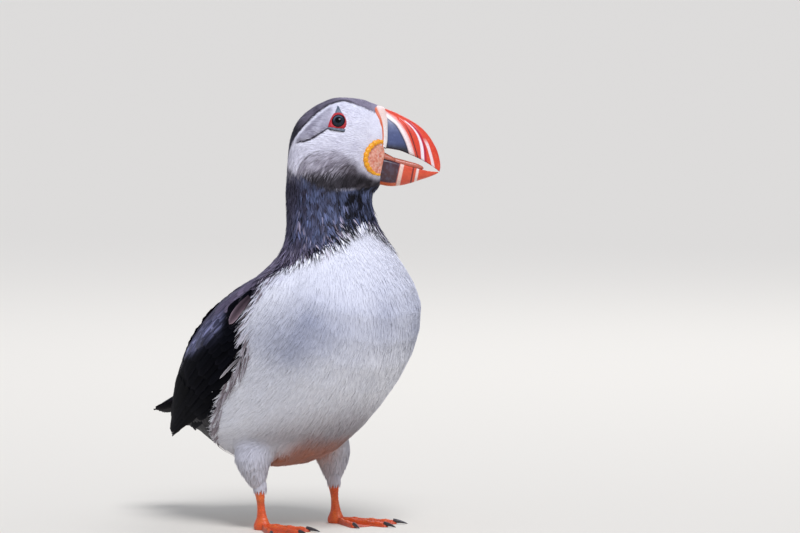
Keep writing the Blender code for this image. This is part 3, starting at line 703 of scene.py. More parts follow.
def cover(roots, length, width, lift, rows, columns, seed, outline, messy=0.12, loose=0.2, camber=0.25):
    """Feathers on these roots: their grids of points. Sizes are arrays, in millimetres."""
    random = np.random.default_rng(seed)
    count = len(roots)
    clump = noise(roots, 5, seed) * messy * 1.5
    sway = random.normal(0, messy, count) + clump
    length = length * random.uniform(0.8, 1.2, count)
    lines, normals = follow(roots, length, rows, sway)
    t = np.linspace(0, 1, rows)
    offset = random.normal(0, 1, count) * loose * lift
    heights = -0.3 + (lift[:, None] + 0.3) * t**0.8 + offset[:, None] * (0.3 + 0.7 * t)
    halves = width[:, None] / 2 * outline(t) * random.uniform(0.85, 1.15, count)[:, None]
    return blades(lines, normals, halves, heights, columns, camber), random


def pointed(t):
    """A feather's width at this share of its length, drawn out to a point."""
    return np.maximum((0.55 + 0.45 * np.sin(np.pi * np.minimum(t * 1.2, 1))) * (1 - t**3), 0.06)


def zones(points):
    """The part of the plumage at each point: 0 head, 1 neck, 2 back, 3 leg, 4 white, 5 tail, 6 wing tip."""
    ahead, _, up = to_head(points)
    side, front, height = to_body(points)
    near_head = np.linalg.norm(to_head(points), axis=0) < 46
    face = near_head & (off_curve(ahead, up, FACE_EDGE) > 0)
    crown = near_head & (up > -8) & ~face
    dark = off_curve(front, height, DARK_EDGE) < 0
    leg = (height < 47) & (np.abs(side) > 16) & (np.abs(front + 3) < 20) & (height < 55 - np.abs(side) * 0.2)
    along, across = wing_place(front, height)
    tip = ((along > 0.76) & (across > -1.1) & (np.abs(side) > 12)) | ((height < 65) & (np.abs(side) > 6))
    tip &= front < -54
    tail = (front < -66) & (height < 80)
    collar = dark & ((height > 163) | ((height > 147) & (front > 20)))
    return np.select([face | crown, collar, tip, tail, dark, leg], [0, 1, 6, 5, 2, 3], 4)


def within(zone, gap):
    """A rule for scatter: feathers this many millimetres apart on one part of the plumage."""
    return lambda points: np.where(zones(points) == zone, gap, 0)


def tinted(points, roots, random, spread):
    """Each feather's colour at its root, a little lighter or darker than its neighbours', with painted shade
    near the root.
    """
    base = plumage(roots) * (1 + random.normal(0, spread, len(roots)))[:, None]
    _, rows, columns, _ = points.shape
    # Painted shade: each feather darkens towards its root, where the feathers above lap over it.
    shade = (0.86 + 0.14 * np.linspace(0, 1, rows))[:, None] * np.ones(columns)
    return base[:, None, None] * shade[..., None]


# White contour feathers: soft and matt, with a faint cool sheen where the barbs catch the light.
white_material = feather_material("white_contour_feather", 0.75, 1.3, 0.3, 0.05, 0.15, "#eef0ff")
roots = scatter(within(4, BREAST_GAP), 11)
size = 1 - 0.35 * ramp(to_body(roots)[2], 140, 165)
sizes = (BREAST_LENGTH * size, BREAST_WIDTH * size, BREAST_LIFT * size)
points, random = cover(roots, *sizes, 5, 3, 12, pointed, 0.09, 0.2)
colours = tinted(points, roots, random, 0.035)
upper = roots[:, 2] > BELLY_TOP * MM
for label, part in (("belly", ~upper), ("breast", upper)):
    for side_name, side in SIDES:
        chosen = part & (roots[:, 0] * side >= 0)
        name = f"coat_{label}_{side_name}"
        mesh = feather_mesh(name, points[chosen], colours[chosen], np.random.default_rng(side + 5))
        show(name, mesh, white_material)

# ---- face and crown -------------------------------------------------------------------------
# Very short, hair-like feathers that lie close as velvet. They part along the furrow behind the
# eye and are longest on the cheek, where pale tips lie over dark ones.

FACE_GAP = 0.78
FACE_LENGTH = 4.2
FACE_WIDTH = 0.62
FACE_LIFT = 0.34
PALE_TIPS = 0.45  # share of the cheek's feathers
# Where the feathers stop at the base of the bill: ahead of and above the head's middle.
CERE_BACK = [
    (21.2, 24.6), (22.5, 20.6), (25.0, 15.6), (26.4, 10.6), (26.8, 6.0), (26.6, 1.0), (26.5, -0.6),
    (26.5, -20),
]
EYE_AT = (1.3, 13.6)  # the middle of the bare skin round the eye
LID_REACH = 4.3  # how far the feathers keep from it


def face_spacing(points):
    ahead, _, up = to_head(points)
    root = np.interp(-up, [-u for _, u in CERE_BACK], [a for a, _ in CERE_BACK])
    bare = (ahead > root + 0.3) | (np.hypot(ahead - EYE_AT[0], up - EYE_AT[1]) < LID_REACH)
    return np.where((zones(points) == 0) & ~bare, FACE_GAP, 0)


# Velvet feathers: nearly without gloss, with a soft pale sheen at the edge of the head.
face_material = feather_material("velvet_face_feather", 0.7, 0.6, 0.2, 0.04, 0.1, "#e8e6ff")
roots = scatter(face_spacing, 21)
ahead, _, up = to_head(roots)
cheek = ramp(-up, -2, 10) * ramp(-ahead, -16, -4)
size = (1 + 0.8 * cheek) * (1 - 0.45 * ramp(ahead, 14, 25)) * (1 - 0.45 * ramp(-up, 16, 23))
size = size * (1 - 0.4 * ramp(-np.hypot(ahead - EYE_AT[0], up - EYE_AT[1]), -9, -5))
sizes = (FACE_LENGTH * size, FACE_WIDTH * size, FACE_LIFT * size)
points, random = cover(roots, *sizes, 4, 3, 22, pointed, 0.08, 0.3, 0.12)
wander = random.normal(0, 0.12 * MM, (len(roots), 1, 1, 3))
colours = plumage((points + wander).reshape(-1, 3)).reshape(points.shape)
colours *= (1 + random.normal(0, 0.025 + 0.13 * cheek))[:, None, None, None]
# Painted shade darkens each feather towards its root.
down = np.linspace(0, 1, 4)[:, None, None]
colours *= 0.88 + 0.12 * down
pale = (random.random(len(roots)) < PALE_TIPS) * cheek * random.uniform(0.3, 0.85, len(roots))
pale = pale * ramp(up, -17, -10)
colours += (linear("#c4bdc6") - colours) * (pale[:, None, None, None] * (0.4 + 0.6 * down))
for side_name, side in SIDES:
    chosen = to_head(roots)[1] * side >= 0
    name = f"coat_head_{side_name}"
    mesh = feather_mesh(name, points[chosen], colours[chosen], np.random.default_rng(side + 7))
    show(name, mesh, face_material)

# ---- neck and collar ------------------------------------------------------------------------
# Black feathers with a blue gloss, from the material's sheen and a painted blue sheen. Their tips
# cling together in wet-looking points, which reach over the top of the white breast.

NECK_GAP = 1.25
NECK_LENGTH = 8.0
NECK_WIDTH = 1.5
NECK_LIFT = 1.0
LIGHT_TIPS = 0.03  # share of pinkish tips, and how many more there are by the collar's edge
MORE_LIGHT_TIPS = 0.1

# Black contour feathers: a low, broad shine, blue from the fine layers in the barbs.
black_material = feather_material("black_contour_feather", 0.5, 1.8, 0.3, 0.25, 0.1, "#7c86c4", 0.15)
roots = scatter(within(1, NECK_GAP), 31)
low = ramp(-roots[:, 2] / MM, -195, -172) * ramp(to_body(roots)[1], 8, 26)
size = 0.7 + 0.4 * low
sizes = (NECK_LENGTH * size, NECK_WIDTH * size, NECK_LIFT * (0.5 + 0.7 * low))
points, random = cover(roots, *sizes, 5, 3, 32, pointed, 0.16, 0.45, 0.4)
colours = tinted(points, points[:, 2, 1], random, 0.33)
low = low * ramp(off_curve(*to_body(roots)[1:], DARK_EDGE), -16, -3)
light = random.random(len(roots)) < LIGHT_TIPS + MORE_LIGHT_TIPS * low
light = light * random.uniform(0.2, 0.8, len(roots)) * low
light = light[:, None, None, None] * (np.linspace(0, 1, 5) ** 1.5)[:, None, None]
colours += (linear("#b9a9b4") - colours) * light
mesh = feather_mesh("coat_neck", points, colours, random)
show("coat_neck", mesh, black_material)

# ---- thighs ---------------------------------------------------------------------------------
# Short white feathers down to the ankle, like loose trousers. They are shortest at the ankle.

THIGH_GAP = 1.2
THIGH_LENGTH = 6.0
THIGH_WIDTH = 1.2
THIGH_LIFT = 0.8

roots = scatter(within(3, THIGH_GAP), 41)
size = 0.75 + 0.25 * ramp(roots[:, 2] / MM, 28, 45)
sizes = (THIGH_LENGTH * size, THIGH_WIDTH * size, THIGH_LIFT * size)
points, random = cover(roots, *sizes, 4, 3, 42, pointed, 0.15, 0.4)
mesh = feather_mesh("coat_thighs", points, tinted(points, roots, random, 0.04), random)
show("coat_thighs", mesh, white_material)

# At the ankle the lowest of them hang free over the top of the bare leg.
CUFF_FEATHERS = 130
CUFF_TOP = 29.5  # above the floor
CUFF_RADIUS = 2.7
CUFF_HALF_WIDTH = 0.75
cuffs = []
random = np.random.default_rng(44)
t = np.linspace(0, 1, 4)
around = np.arange(CUFF_FEATHERS) * 2.4
for side_name, side in SIDES:
    x, y, _ = middle(f"tarsus_{side_name}")
    reach = random.uniform(6, 9.5, CUFF_FEATHERS)[:, None]
    radius = CUFF_RADIUS + 1.2 * np.sin(0.75 * math.pi * t)
    radius = radius + random.uniform(-0.3, 0.3, CUFF_FEATHERS)[:, None]
    radial = np.stack([np.cos(around), np.sin(around), 0 * around], 1)[:, None]
    lines = np.array([x, y + 0.8 * MM, CUFF_TOP * MM]) + radial * (radius * MM)[..., None] * (0.85, 1.1, 1)
    lines[..., 2] -= reach * t * MM
    halves = np.tile(CUFF_HALF_WIDTH * pointed(t), (CUFF_FEATHERS, 1))
    cuffs.append(blades(lines, radial + 0 * lines, halves, 0 * halves, 3, 0.3))
points = np.concatenate(cuffs)
mesh = feather_mesh("coat_ankles", points, tinted(points, points[:, 0, 1], random, 0.05), random)
show("coat_ankles", mesh, white_material)

# ---- back and shoulders ---------------------------------------------------------------------
# Smooth black contour feathers, rounded and lapped like shingles. They are small on the nape and
# shoulder and larger down the back. Edges turn brown with wear and carry painted sheen, and the
# gloss is painted lilac-grey.

BACK_GAP = 2.3
BACK_LENGTH = 9.0
BACK_WIDTH = 4.6
BACK_LIFT = 0.5
WING_OUT = 20.0  # the wing lies at least this far from the bird's middle
# A band of painted lilac gloss where the light catches the wing just below the mantle.
GLOSS_LINE = [(24, 138), (8, 129.5), (-5, 122.5), (-22, 115), (-38, 105.5), (-50, 98)]
GLOSS_REACH = 5.0


def back_spacing(points):
    side, front, height = to_body(points)
    along, across = wing_place(front, height)
    wing = (np.abs(side) > WING_OUT) & (across > -0.15 - 0.4 * ramp(along, 0.42, 0.54)) & (along > 0.16)
    return np.where((zones(points) == 2) & ~(wing & (across < 1.0)), BACK_GAP, 0)


def rounded(t):
    """A broad feather's width at this share of its length."""
    return np.maximum((0.5 + 0.5 * ramp(t, 0, 0.35)) * np.sqrt(np.maximum(1 - t**5, 0)), 0.1)


def fringed(points, base, random, fringe, amount):
    """Dark feathers with a paler fringe round the tip, part wear and part painted sheen, and painted shade
    towards the root.
    """
    count, rows, columns, _ = points.shape
    down = np.linspace(0, 1, rows)[:, None]
    rim = np.maximum(np.abs(np.linspace(-1, 1, columns)) ** 3 * ramp(down, 0.2, 0.7), down**8)
    share = rim[None, :, :, None] * amount * random.uniform(0.2, 1, count)[:, None, None, None]
    # Painted shade darkens each feather towards its root.
    colours = base[:, None, None] * (0.75 + 0.25 * down)[None, :, :, None] * np.ones((1, 1, columns, 1))
    return colours + (linear(fringe) - colours) * share


def painted_gloss(points, colours, random):
    """Adds the painted gloss, a highlight which breaks up into streaks along the feathers and is weaker on
    the left.
    """
    side, front, height = to_body(points.reshape(-1, 3))
    near = np.exp(-((off_curve(front, height, GLOSS_LINE) / GLOSS_REACH) ** 2))
    near = near * ramp(-front, 0, 12) * ramp(height, 97, 104)
    near = (near * (1 - 0.4 * (side > 0))).reshape(points.shape[:3])
    streaks = 0.15 + 0.85 * random.random((points.shape[0], 1, points.shape[2])) ** 2
    return colours + (linear("#a3a5cf") - colours) * (0.95 * near * streaks)[..., None]


# Black contour vanes: closed and smooth, with a dull broad shine and hardly any streaks.
vane_material = feather_material("black_contour_vane", 0.5, 5.2, 0.3, 0.25, 0.02, "#9aa0c8", 0.12)
roots = scatter(back_spacing, 51)
_, front, height = to_body(roots)
along, across = wing_place(front, height)
scapular = ramp(-np.abs(across + 0.65), -0.55, -0.2) * ramp(along, 0.1, 0.3) * ramp(-along, -0.75, -0.55)
size = (0.7 + 0.5 * ramp(-front, -25, 30)) * (1 + 0.6 * scapular)
sizes = (BACK_LENGTH * size, BACK_WIDTH * size**0.7, BACK_LIFT * size**0.5)
points, random = cover(roots, *sizes, 7, 5, 52, rounded, 0.06, 0.15, 0.12)
base = plumage(points[:, 4, 2]) * (1 + random.normal(0, 0.2, len(roots)))[:, None]
# Fringes, painted shade towards the roots, and the painted gloss.
colours = painted_gloss(points, fringed(points, base, random, "#4b424d", 0.4), random)
mesh = feather_mesh("coat_back", points, colours, random)
show("coat_back", mesh, vane_material)

# ---- wings ----------------------------------------------------------------------------------
# Folded wings: rows of small coverts, then long coverts, secondaries and the narrow primaries
# that make the point. Stiff black vanes on a shaft, each lapped over the next one down.

WING_LENGTH = 163.0
# Each row: share along the wing of its roots, place across it of the first, length, width, and
# height over the skin, in millimetres.
WING_ROWS = [(0.03 + 0.026 * k, -0.62, 7.5 + 0.28 * k, 4.2 + 0.1 * k, 0.5) for k in range(3, 14)]
WING_ROWS += [
    (0.40, -0.62, 15, 5.6, 0.45),
    (0.45, -0.62, 19, 6.0, 0.4),
    (0.50, -0.62, 23, 6.4, 0.35),
    (0.56, -0.60, 27, 6.6, 0.3),
    (0.63, -0.60, 30, 6.6, 0.25),
    (0.70, -0.60, 31, 6.2, 0.2),
]
COVERT_LAP = 0.55  # from one feather to the next, as a share of its width
PRIMARIES = 8
PRIMARY_HALF_WIDTH = 3.9
FEATHER_ROWS = 13
FEATHER_COLUMNS = 7
STEEPEST = 2.5  # millimetres in or out, from one row of a vane's points to the next


def from_body(left, ahead, height):
    left, ahead, height = np.broadcast_arrays(left, ahead, height)
    return np.stack([left * MM, ANKLE_Y - ahead * MM, height * MM], -1)


def wing_line(along):
    """The wing's middle line at this share along it: place ahead and above, and heading there."""
    line = smooth_curve(WING_LINE, 8)
    heading = unit(np.gradient(line, axis=0))
    place = np.linspace(0, 1, len(line))
    return [np.interp(along, place, values) for values in (*line.T, *heading.T)]


def struck(side, front, height):
    """Where a line from the bird's outer side meets the skin, and the normal, or None twice."""
    return skin_tree.ray_cast(Vector(from_body(side * 90.0, front, height)), Vector((-side, 0, 0)))[:2]


def on_wing(along, across, side):
    """Places and normals on the outer side of a folded wing. Past its end they run on flat."""
    front, height, head_f, head_z = wing_line(along)
    half = half_chord(along)
    past = np.maximum(along - 1, 0) * WING_LENGTH
    front = front + head_f * past - head_z * half * across
    height = height + head_z * past + head_f * half * across
    points, normals = [], []
    for f, z in zip(front.ravel(), height.ravel()):
        place, normal = struck(side, f, z)
        points.append(from_body(0.0, f, z) if place is None else np.array(place))
        normals.append((side, 0, 0) if place is None else np.array(normal))
    points = np.array(points).reshape(*front.shape, 3)
    normals = np.array(normals, float).reshape(*front.shape, 3)
    return points, unit(normals + np.array([side * 0.6, 0, 0]))


def calm(lines, limit):
    """Centre lines whose distance from the bird's middle changes gently, so no vane is creased."""
    lines = lines.copy()
    out = lines[..., 0]
    for _ in range(3):
        out[:, 1:-1] = 0.5 * out[:, 1:-1] + 0.25 * (out[:, :-2] + out[:, 2:])
    step = np.clip(np.diff(out, axis=1), -limit * MM, limit * MM)
    lines[:, 1:, 0] = out[:, :1] + np.cumsum(step, axis=1)
    return lines


def lowest_across(along):
    """How far across the wing its feathers reach before the white flank covers them."""
    across = np.linspace(-0.6, 1.0, 80)
    front, height, head_f, head_z = wing_line(along)
    half = half_chord(along)
    edge = off_curve(front - head_z * half * across, height + head_f * half * across, DARK_EDGE)
    return across[edge < -1.0].max() if (edge < -1.0).any() else -0.6


def vane(t):
    """A covert's width at this share of its length: blunt."""
    return np.maximum((0.62 + 0.38 * ramp(t, 0, 0.4)) * np.sqrt(np.maximum(1 - t**7, 0)), 0.1)


def quill_vane(t):
    """A primary's width at this share of its length: narrower towards the tip."""
    tip = np.sqrt(np.maximum(1 - t**4, 0))
    return np.maximum((0.75 + 0.25 * ramp(t, 0, 0.3)) * tip * (1 - 0.35 * t), 0.08)


def wing_feathers(rows, side, random, outline):
    """Rows of feathers on one wing: grids of points."""
    grids = []
    t = np.linspace(0, 1, FEATHER_ROWS)
    for start, first, length, width, level in rows:
        reach = length / WING_LENGTH
        last = min(lowest_across(start + 0.2 * reach), lowest_across(start + 0.9 * reach)) - 0.03
        if last < first:
            continue
        count = max(2, int((last - first) * half_chord(start + reach / 2) / (width * COVERT_LAP)))
        across = np.linspace(first, last, count) + random.uniform(-0.02, 0.02, count)
        begin = start + random.uniform(-0.006, 0.006, count)
        along = begin[:, None] + reach * random.uniform(0.93, 1.07, count)[:, None] * t
        lines, normals = on_wing(along, across[:, None] * (1 - 0.03 * t), side)
        lines = calm(lines, STEEPEST)
        lift = level - 0.45 + 0.95 * t + np.zeros((count, 1))
        halves = width / 2 * outline(t) * random.uniform(0.93, 1.07, count)[:, None]
        grids.append(blades(lines, normals, halves, lift, FEATHER_COLUMNS, 0.1, -side * 0.07))
    return np.concatenate(grids)


skin_tree = BVHTree.FromPolygons(skin_points.tolist(), skin_faces.tolist())
# Flight feathers: stiffer and darker than the back, with a matt surface that holds little light.
quill_material = feather_material("black_flight_feather", 0.6, 7.0, 0.35, 0.35, 0.0, "#9aa0c8", 0.02)
for side_name, side in SIDES:
    random = np.random.default_rng(60 + side)
    coverts = wing_feathers(WING_ROWS, side, random, vane)
    t = np.linspace(0, 1, FEATHER_ROWS)
    order = np.arange(PRIMARIES)[:, None]
    along = 0.60 + 0.012 * order + (0.42 - 0.05 * order) * t
    across = (0.72 - 0.17 * order) * (1 - t) + (0.55 - 0.16 * order) * t
    lines, normals = on_wing(along, across, side)
    lines = calm(lines, STEEPEST)
    lift = 0.1 + 0.1 * order + 0.5 * t
    halves = PRIMARY_HALF_WIDTH * quill_vane(t) * np.ones((PRIMARIES, 1))
    primaries = blades(lines, normals, halves, lift, FEATHER_COLUMNS, 0.12, -side * 0.06)
    points = np.concatenate([coverts, primaries])
    middles = points[:, FEATHER_ROWS // 2, FEATHER_COLUMNS // 2]
    # Vanes stay near black; above the mantle's edge they may reach the shoulder's tone, painted light
    # included.
    on_mantle = ramp(-off_curve(*to_body(middles)[1:], MANTLE_EDGE), 0, 2)[:, None]
    palest = linear("#07080e") + (linear("#82768a") - linear("#07080e")) * on_mantle
    base = np.minimum(plumage(middles), palest) * (1 + random.normal(0, 0.2, len(middles)))[:, None]
    # Fringes, painted shade towards the roots, and the painted gloss.
    colours = painted_gloss(points, fringed(points, base, random, "#2a2832", 0.3), random)
    mesh = feather_mesh(f"wing_vanes_{side_name}", points, colours, random)
    show(f"wing_vanes_{side_name}", mesh, quill_material)

# Two odd feathers show on the right wing: a worn one by the shoulder has faded to mauve brown,
# and a pale-edged one lies along the wing's lower edge. Each has its line, ahead and above, its
# half width, its colour, its edge's colour and its height over the skin.
ODD_COLUMNS = 9
ODD_FEATHERS = [
    ("faded_feather", [(15.5, 137), (11.5, 132), (7, 126.5), (3.5, 121.5)], 3.3, "#6a5860", "#a8949c", 1.9),
    ("pale_edged_feather", [(7.5, 103), (2, 99.5), (-5, 94.5), (-12, 89.5)], 0.8, "#a7a2a8", "#d8d5d8", 1.8),
]
for seed, (name, line, half_width, code, edge_code, level) in enumerate(ODD_FEATHERS):
    found = [struck(-1, f, z) for f, z in smooth_curve(line, 4)]
    lines, normals = (np.array([[np.array(pair[k]) for pair in found]]) for k in range(2))
    t = np.linspace(0, 1, len(found))
    lift = (level - 0.4 + 0.5 * t)[None]
    halves = (half_width * vane(t) * (1 - 0.3 * t**3))[None]
    points = blades(lines, normals, halves, lift, ODD_COLUMNS, 0.2)
    random = np.random.default_rng(71 + seed)
    colours = fringed(points, np.array([linear(code)]), random, edge_code, 0.8)
    # Paler edges, and painted shade that darkens each feather towards its root.
    edge_tone = 0.6 + 0.8 * np.abs(np.linspace(-1, 1, ODD_COLUMNS)) ** 1.5
    colours *= edge_tone[:, None] * np.linspace(0.4, 1.35, len(t))[:, None, None]
    show(name, feather_mesh(name, points, colours, random), quill_material)

# ---- edge of the flank ----------------------------------------------------------------------
# Loose plumes from the flank lap over the edge of the folded wing: white, grey-brown and black
# locks, longest below the shoulder.

PLUME_GAP = 2.2
LOCK_ROWS = 6


def plume_spacing(points):
    side, front, height = to_body(points)
    edge = off_curve(front, height, DARK_EDGE)
    there = (np.abs(side) > 15) & (edge > -0.4) & (edge < 4 + 2 * ramp(height, 106, 120))
    return np.where(there & (height < 150) & (front > -38) & (zones(points) != 3), PLUME_GAP, 0)


def locks(roots, turn, length, size, lift, spread, width, random):
    """Loose narrow feathers. length and width are ranges, and lift rises along them; millimetres."""
    count = len(roots)
    t = np.linspace(0, 1, LOCK_ROWS)
    lines, normals = follow(roots, random.uniform(*length, count) * size, LOCK_ROWS, turn)
    lift = lift[0] + lift[1] * t + random.uniform(*spread, count)[:, None]
    halves = random.uniform(*width, count)[:, None] / 2 * pointed(t)
    return blades(lines, normals, halves, lift, 3, 0.4)


def lock_mesh(name, points, tones, random):
    """A mesh of locks, each of one colour, with painted shade making it a little darker at its root."""
    t = np.linspace(0, 1, LOCK_ROWS)
    colours = tones[:, None, None] * (0.8 + 0.2 * t)[:, None, None] * np.ones((1, 1, 3, 1))
    return feather_mesh(name, points, colours, random)


# Flank plumes: loose white barbs that part, so they scatter light and hardly shine.
plume_material = feather_material("loose_flank_plume", 0.7, 1.3, 0.3, 0.08, 0.1, "#e8e6ff")
roots = scatter(plume_spacing, 81)
side, _, height = to_body(roots)
random = np.random.default_rng(82)
count = len(roots)
low = ramp(-height, -124, -106)
turn = np.sign(side) * (random.uniform(-0.08, 0.3, count) - 0.55 * low)
size = 1 - 0.4 * ramp(height, 132, 142)
points = locks(roots, turn, (8, 13), size, (0.4, 1.0), (-0.3, 0.4), (0.6, 1.4), random)
brown = random.random(count) < 0.2 + 0.45 * low
pale = linear("#dddce6") + (linear("#b3abb4") - linear("#dddce6")) * low[:, None]
tones = np.where(brown[:, None], linear("#857a80"), pale)
dark = random.random(count) < 0.16 - 0.1 * low
tones = np.where(dark[:, None], linear("#2a252c"), tones)
show("flank_plumes", lock_mesh("flank_plumes", points, tones, random), plume_material)

# ---- edge of the collar ---------------------------------------------------------------------
# Where the collar ends, thin wet-looking points of black lie over the white breast, with a few
# pinkish white ones among the black.

SPIKE_GAP = 1.5
SPIKE_TONES = (("#7d6f7b", 0.74), ("#c5bac6", 0.89))  # each from this share of the points upwards


def spike_spacing(points):
    side, front, height = to_body(points)
    edge = off_curve(front, height, DARK_EDGE)
    there = (height > 143) & (height < 185) & (edge > -5) & (edge < 0.8) & (np.abs(side) > 3)
    return np.where(there & (to_head(points)[2] < -30), SPIKE_GAP, 0)


roots = scatter(spike_spacing, 85)
side = to_body(roots)[0]
random = np.random.default_rng(86)
turn = -np.sign(side) * random.uniform(-0.15, 0.6, len(roots))
points = locks(roots, turn, (4.5, 8.5), 1, (0.5, 1.4), (-0.3, 0.5), (0.36, 0.84), random)
pick = random.random(len(roots))[:, None]
tones = plain("#12121b", len(roots))
for code, share in SPIKE_TONES:
    tones = np.where(pick > share, linear(code), tones)
show("collar_points", lock_mesh("collar_points", points, tones, random), black_material)

# ---- tail -----------------------------------------------------------------------------------
# Sixteen short black tail feathers, laid like a closed fan, the middle pair on top. Small
# coverts hide their roots.

TAIL_PAIRS = 8
TAIL_LINE = [(-52, 82), (-60, 80), (-77, 74), (-92, 68), (-105, 63.5), (-112.5, 61)]
TAIL_HALF_WIDTH = [12, 14, 17, 19, 17.5, 14.5]
TAIL_HALF_THICKNESS = [10, 8.5, 6.4, 3.6, 1.9, 1.2]
TAIL_VANE_HALF_WIDTH = 3.4
TAIL_COVERT_GAP = 2.6
TAIL_COVERT = (14.0, 5.5, 0.9)  # length, width and lift

random = np.random.default_rng(90)
t = np.linspace(0, 1, FEATHER_ROWS)
tail_place = np.linspace(0, 1, len(TAIL_LINE))
for label, turn in (("upper", 1), ("under", -1)):
    grids = []
    for side in (-1, 1):
        for k in range(TAIL_PAIRS):
            spread = (k + 0.5) / TAIL_PAIRS
            along = 0.12 + (0.88 - 0.15 * spread**2 - random.uniform(0, 0.045)) * t
            half = np.interp(along, tail_place, TAIL_HALF_WIDTH)
            thick = np.interp(along, tail_place, TAIL_HALF_THICKNESS)
            share = spread * 0.95
            drop = (1 - share**2.4) ** (1 / 2.4)
            front, height = (np.interp(along, tail_place, values) for values in np.array(TAIL_LINE).T)
            lines = from_body(side * share * (half - 1.5), front, height + turn * thick * drop)[None]
            fall = np.tile((share**3 * side, 0.34 * turn, 0.94 * turn), (len(t), 1))
            lift = np.full((1, len(t)), -0.9 + 0.22 * (TAIL_PAIRS - k))
            halves = (TAIL_VANE_HALF_WIDTH * np.sqrt(np.maximum(1 - t**5, 0.002)))[None]
            grids.append(blades(lines, unit(fall)[None], halves, lift, FEATHER_COLUMNS, 0.12))
    points = np.concatenate(grids)
    base = plain("#0d0c11", len(points)) * random.uniform(0.8, 1.4, len(points))[:, None]
    mesh = feather_mesh(f"tail_vanes_{label}", points, fringed(points, base, random, "#5a5159", 0.35), random)
    show(f"tail_vanes_{label}", mesh, quill_material)


def tail_covert_spacing(points):
    side, front, _ = to_body(points)
    return np.where((zones(points) == 5) & (front > -93) & (np.abs(side) < 10), TAIL_COVERT_GAP, 0)


roots = scatter(tail_covert_spacing, 91)
sizes = [np.full(len(roots), size) for size in TAIL_COVERT]
points, random = cover(roots, *sizes, 7, 5, 92, rounded, 0.06, 0.2, 0.12)
base = plumage(roots) * (1 + random.normal(0, 0.1, len(roots)))[:, None]
mesh = feather_mesh("tail_coverts", points, fringed(points, base, random, "#4b424d", 0.4), random)
show("tail_coverts", mesh, vane_material)

# ---- eyes -----------------------------------------------------------------------------------
# A dark slate iris round a black pupil, behind a wet clear cornea. Bare vermilion skin rings it,
# with a pointed plate of blue-grey horn above and a bar of it below.

EYE_RADIUS = 5.4
EYE_STEPS = 96  # round the ball
OPENING = 4.2  # the ball is kept within this of its own axis
CORNEA_HEIGHT = 0.28
IRIS_RADIUS = 3.75
PUPIL_RADIUS = 1.75
GAZE = unit(np.array([-0.09, 0.945, 0.31]))  # outwards from the middle of the left eye
LID_INNER = 3.85
LID_RIB = 0.4  # how far the ring of skin swells, and how much its 23 creases add
LID_CREASE = 0.1
LID_GRAIN = 0.45
# The bare skin's outline round the eye: ahead of and above its middle.
LID_OUTLINE = [
    (4.6, 0.5), (2.0, 4.8), (-1.9, 4.9), (-4.4, 1.4), (-5.8, -3.0), (-4.8, -4.1), (0.0, -4.4),
    (3.7, -4.1),
]
LID_STEPS = 96
LID_ROWS = 9
# Each plate's outline, ahead of and above the eye's middle, and its rings' size and height.
PLATES = {
    "upper": [(-1.9, 4.5), (2.1, 4.2), (1.6, 5.6), (0.8, 7.4), (-0.3, 9.2), (-1.1, 7.2), (-1.7, 5.6)],
    "lower": [
        (-6.3, -3.9), (-4.2, -3.5), (-0.6, -4.1), (3.6, -4.5), (3.9, -5.4), (3.2, -6.3), (-1.0, -5.7),
        (-5.4, -4.9),
    ],
}
PLATE_RINGS = ((1.0, -1.6), (1.0, 0.2), (0.94, 0.52), (0.8, 0.7), (0.5, 0.8), (0.15, 0.82))
PLATE_GRAIN = 1.1


def from_head(ahead, left, up):
    """The place in the frame of a point given in the head's millimetres."""
    return HEAD_CENTRE + np.stack(np.broadcast_arrays(ahead, left, up), -1) @ HEAD_AXES * MM


def closed_curve(points, steps):
    """A smooth outline through a few points, whose last stretch closes it straight."""
    line = smooth_curve([*points[-2:], *points, *points[:2]], steps)
    return line[2 * steps : (len(points) + 1) * steps]


def outward_faces(points, faces):
    """The faces, turned if need be so that a closed shape's normals point out."""
    corners = points[faces]
    crossed = np.cross(corners[:, 2] - corners[:, 0], corners[:, 3] - corners[:, 1])
    volume = (corners.mean(1) * crossed).sum()
    return faces if volume > 0 else faces[:, ::-1]


def sculpted(name, grid, closed, capped, material, replaced=(), colours=None):
    """A piece from a grid of points (rows, columns, 3), with its end rows capped if asked."""
    rows, columns, _ = grid.shape
    points = grid.reshape(-1, 3)
    faces = grid_faces(rows, columns, closed)
    if capped:
        points = np.vstack([points, grid[0].mean(0), grid[-1].mean(0)])
    faces = outward_faces(points - points.mean(0), faces)
    mesh = build_mesh(name, points, faces)
    if capped:
        bm = bmesh.new()
        bm.from_mesh(mesh)
        bm.verts.ensure_lookup_table()
        final = (rows - 1) * columns
        for k in range(columns):
            after = (k + 1) % columns
            bm.faces.new((bm.verts[final + columns], bm.verts[after], bm.verts[k]))
        for k in range(columns):
            after = (k + 1) % columns
            bm.faces.new((bm.verts[final + columns + 1], bm.verts[final + k], bm.verts[final + after]))
        bmesh.ops.recalc_face_normals(bm, faces=bm.faces)
        bm.to_mesh(mesh)
        bm.free()
        mesh.shade_smooth()
    if colours is not None:
        flat = colours.reshape(-1, 3)
        if capped:
            flat = np.vstack([flat, colours[0].mean(0), colours[-1].mean(0)])
        paint(mesh, flat)
    show(name, mesh, material, replaced)


def on_head(ahead, up, side):
    """Where the side of the head is, at this place ahead of and above its centre."""
    found = []
    for a, u in zip(np.ravel(ahead), np.ravel(up)):
        hit = skin_tree.ray_cast(Vector(from_head(a, side * 40, u)), Vector(-side * HEAD_LEFT))
        found.append(abs(to_head(np.array(hit[0]))[1]) if hit[0] is not None else np.nan)
    found = np.array(found)
    found[np.isnan(found)] = np.nanmin(found)
    return found.reshape(np.shape(ahead))


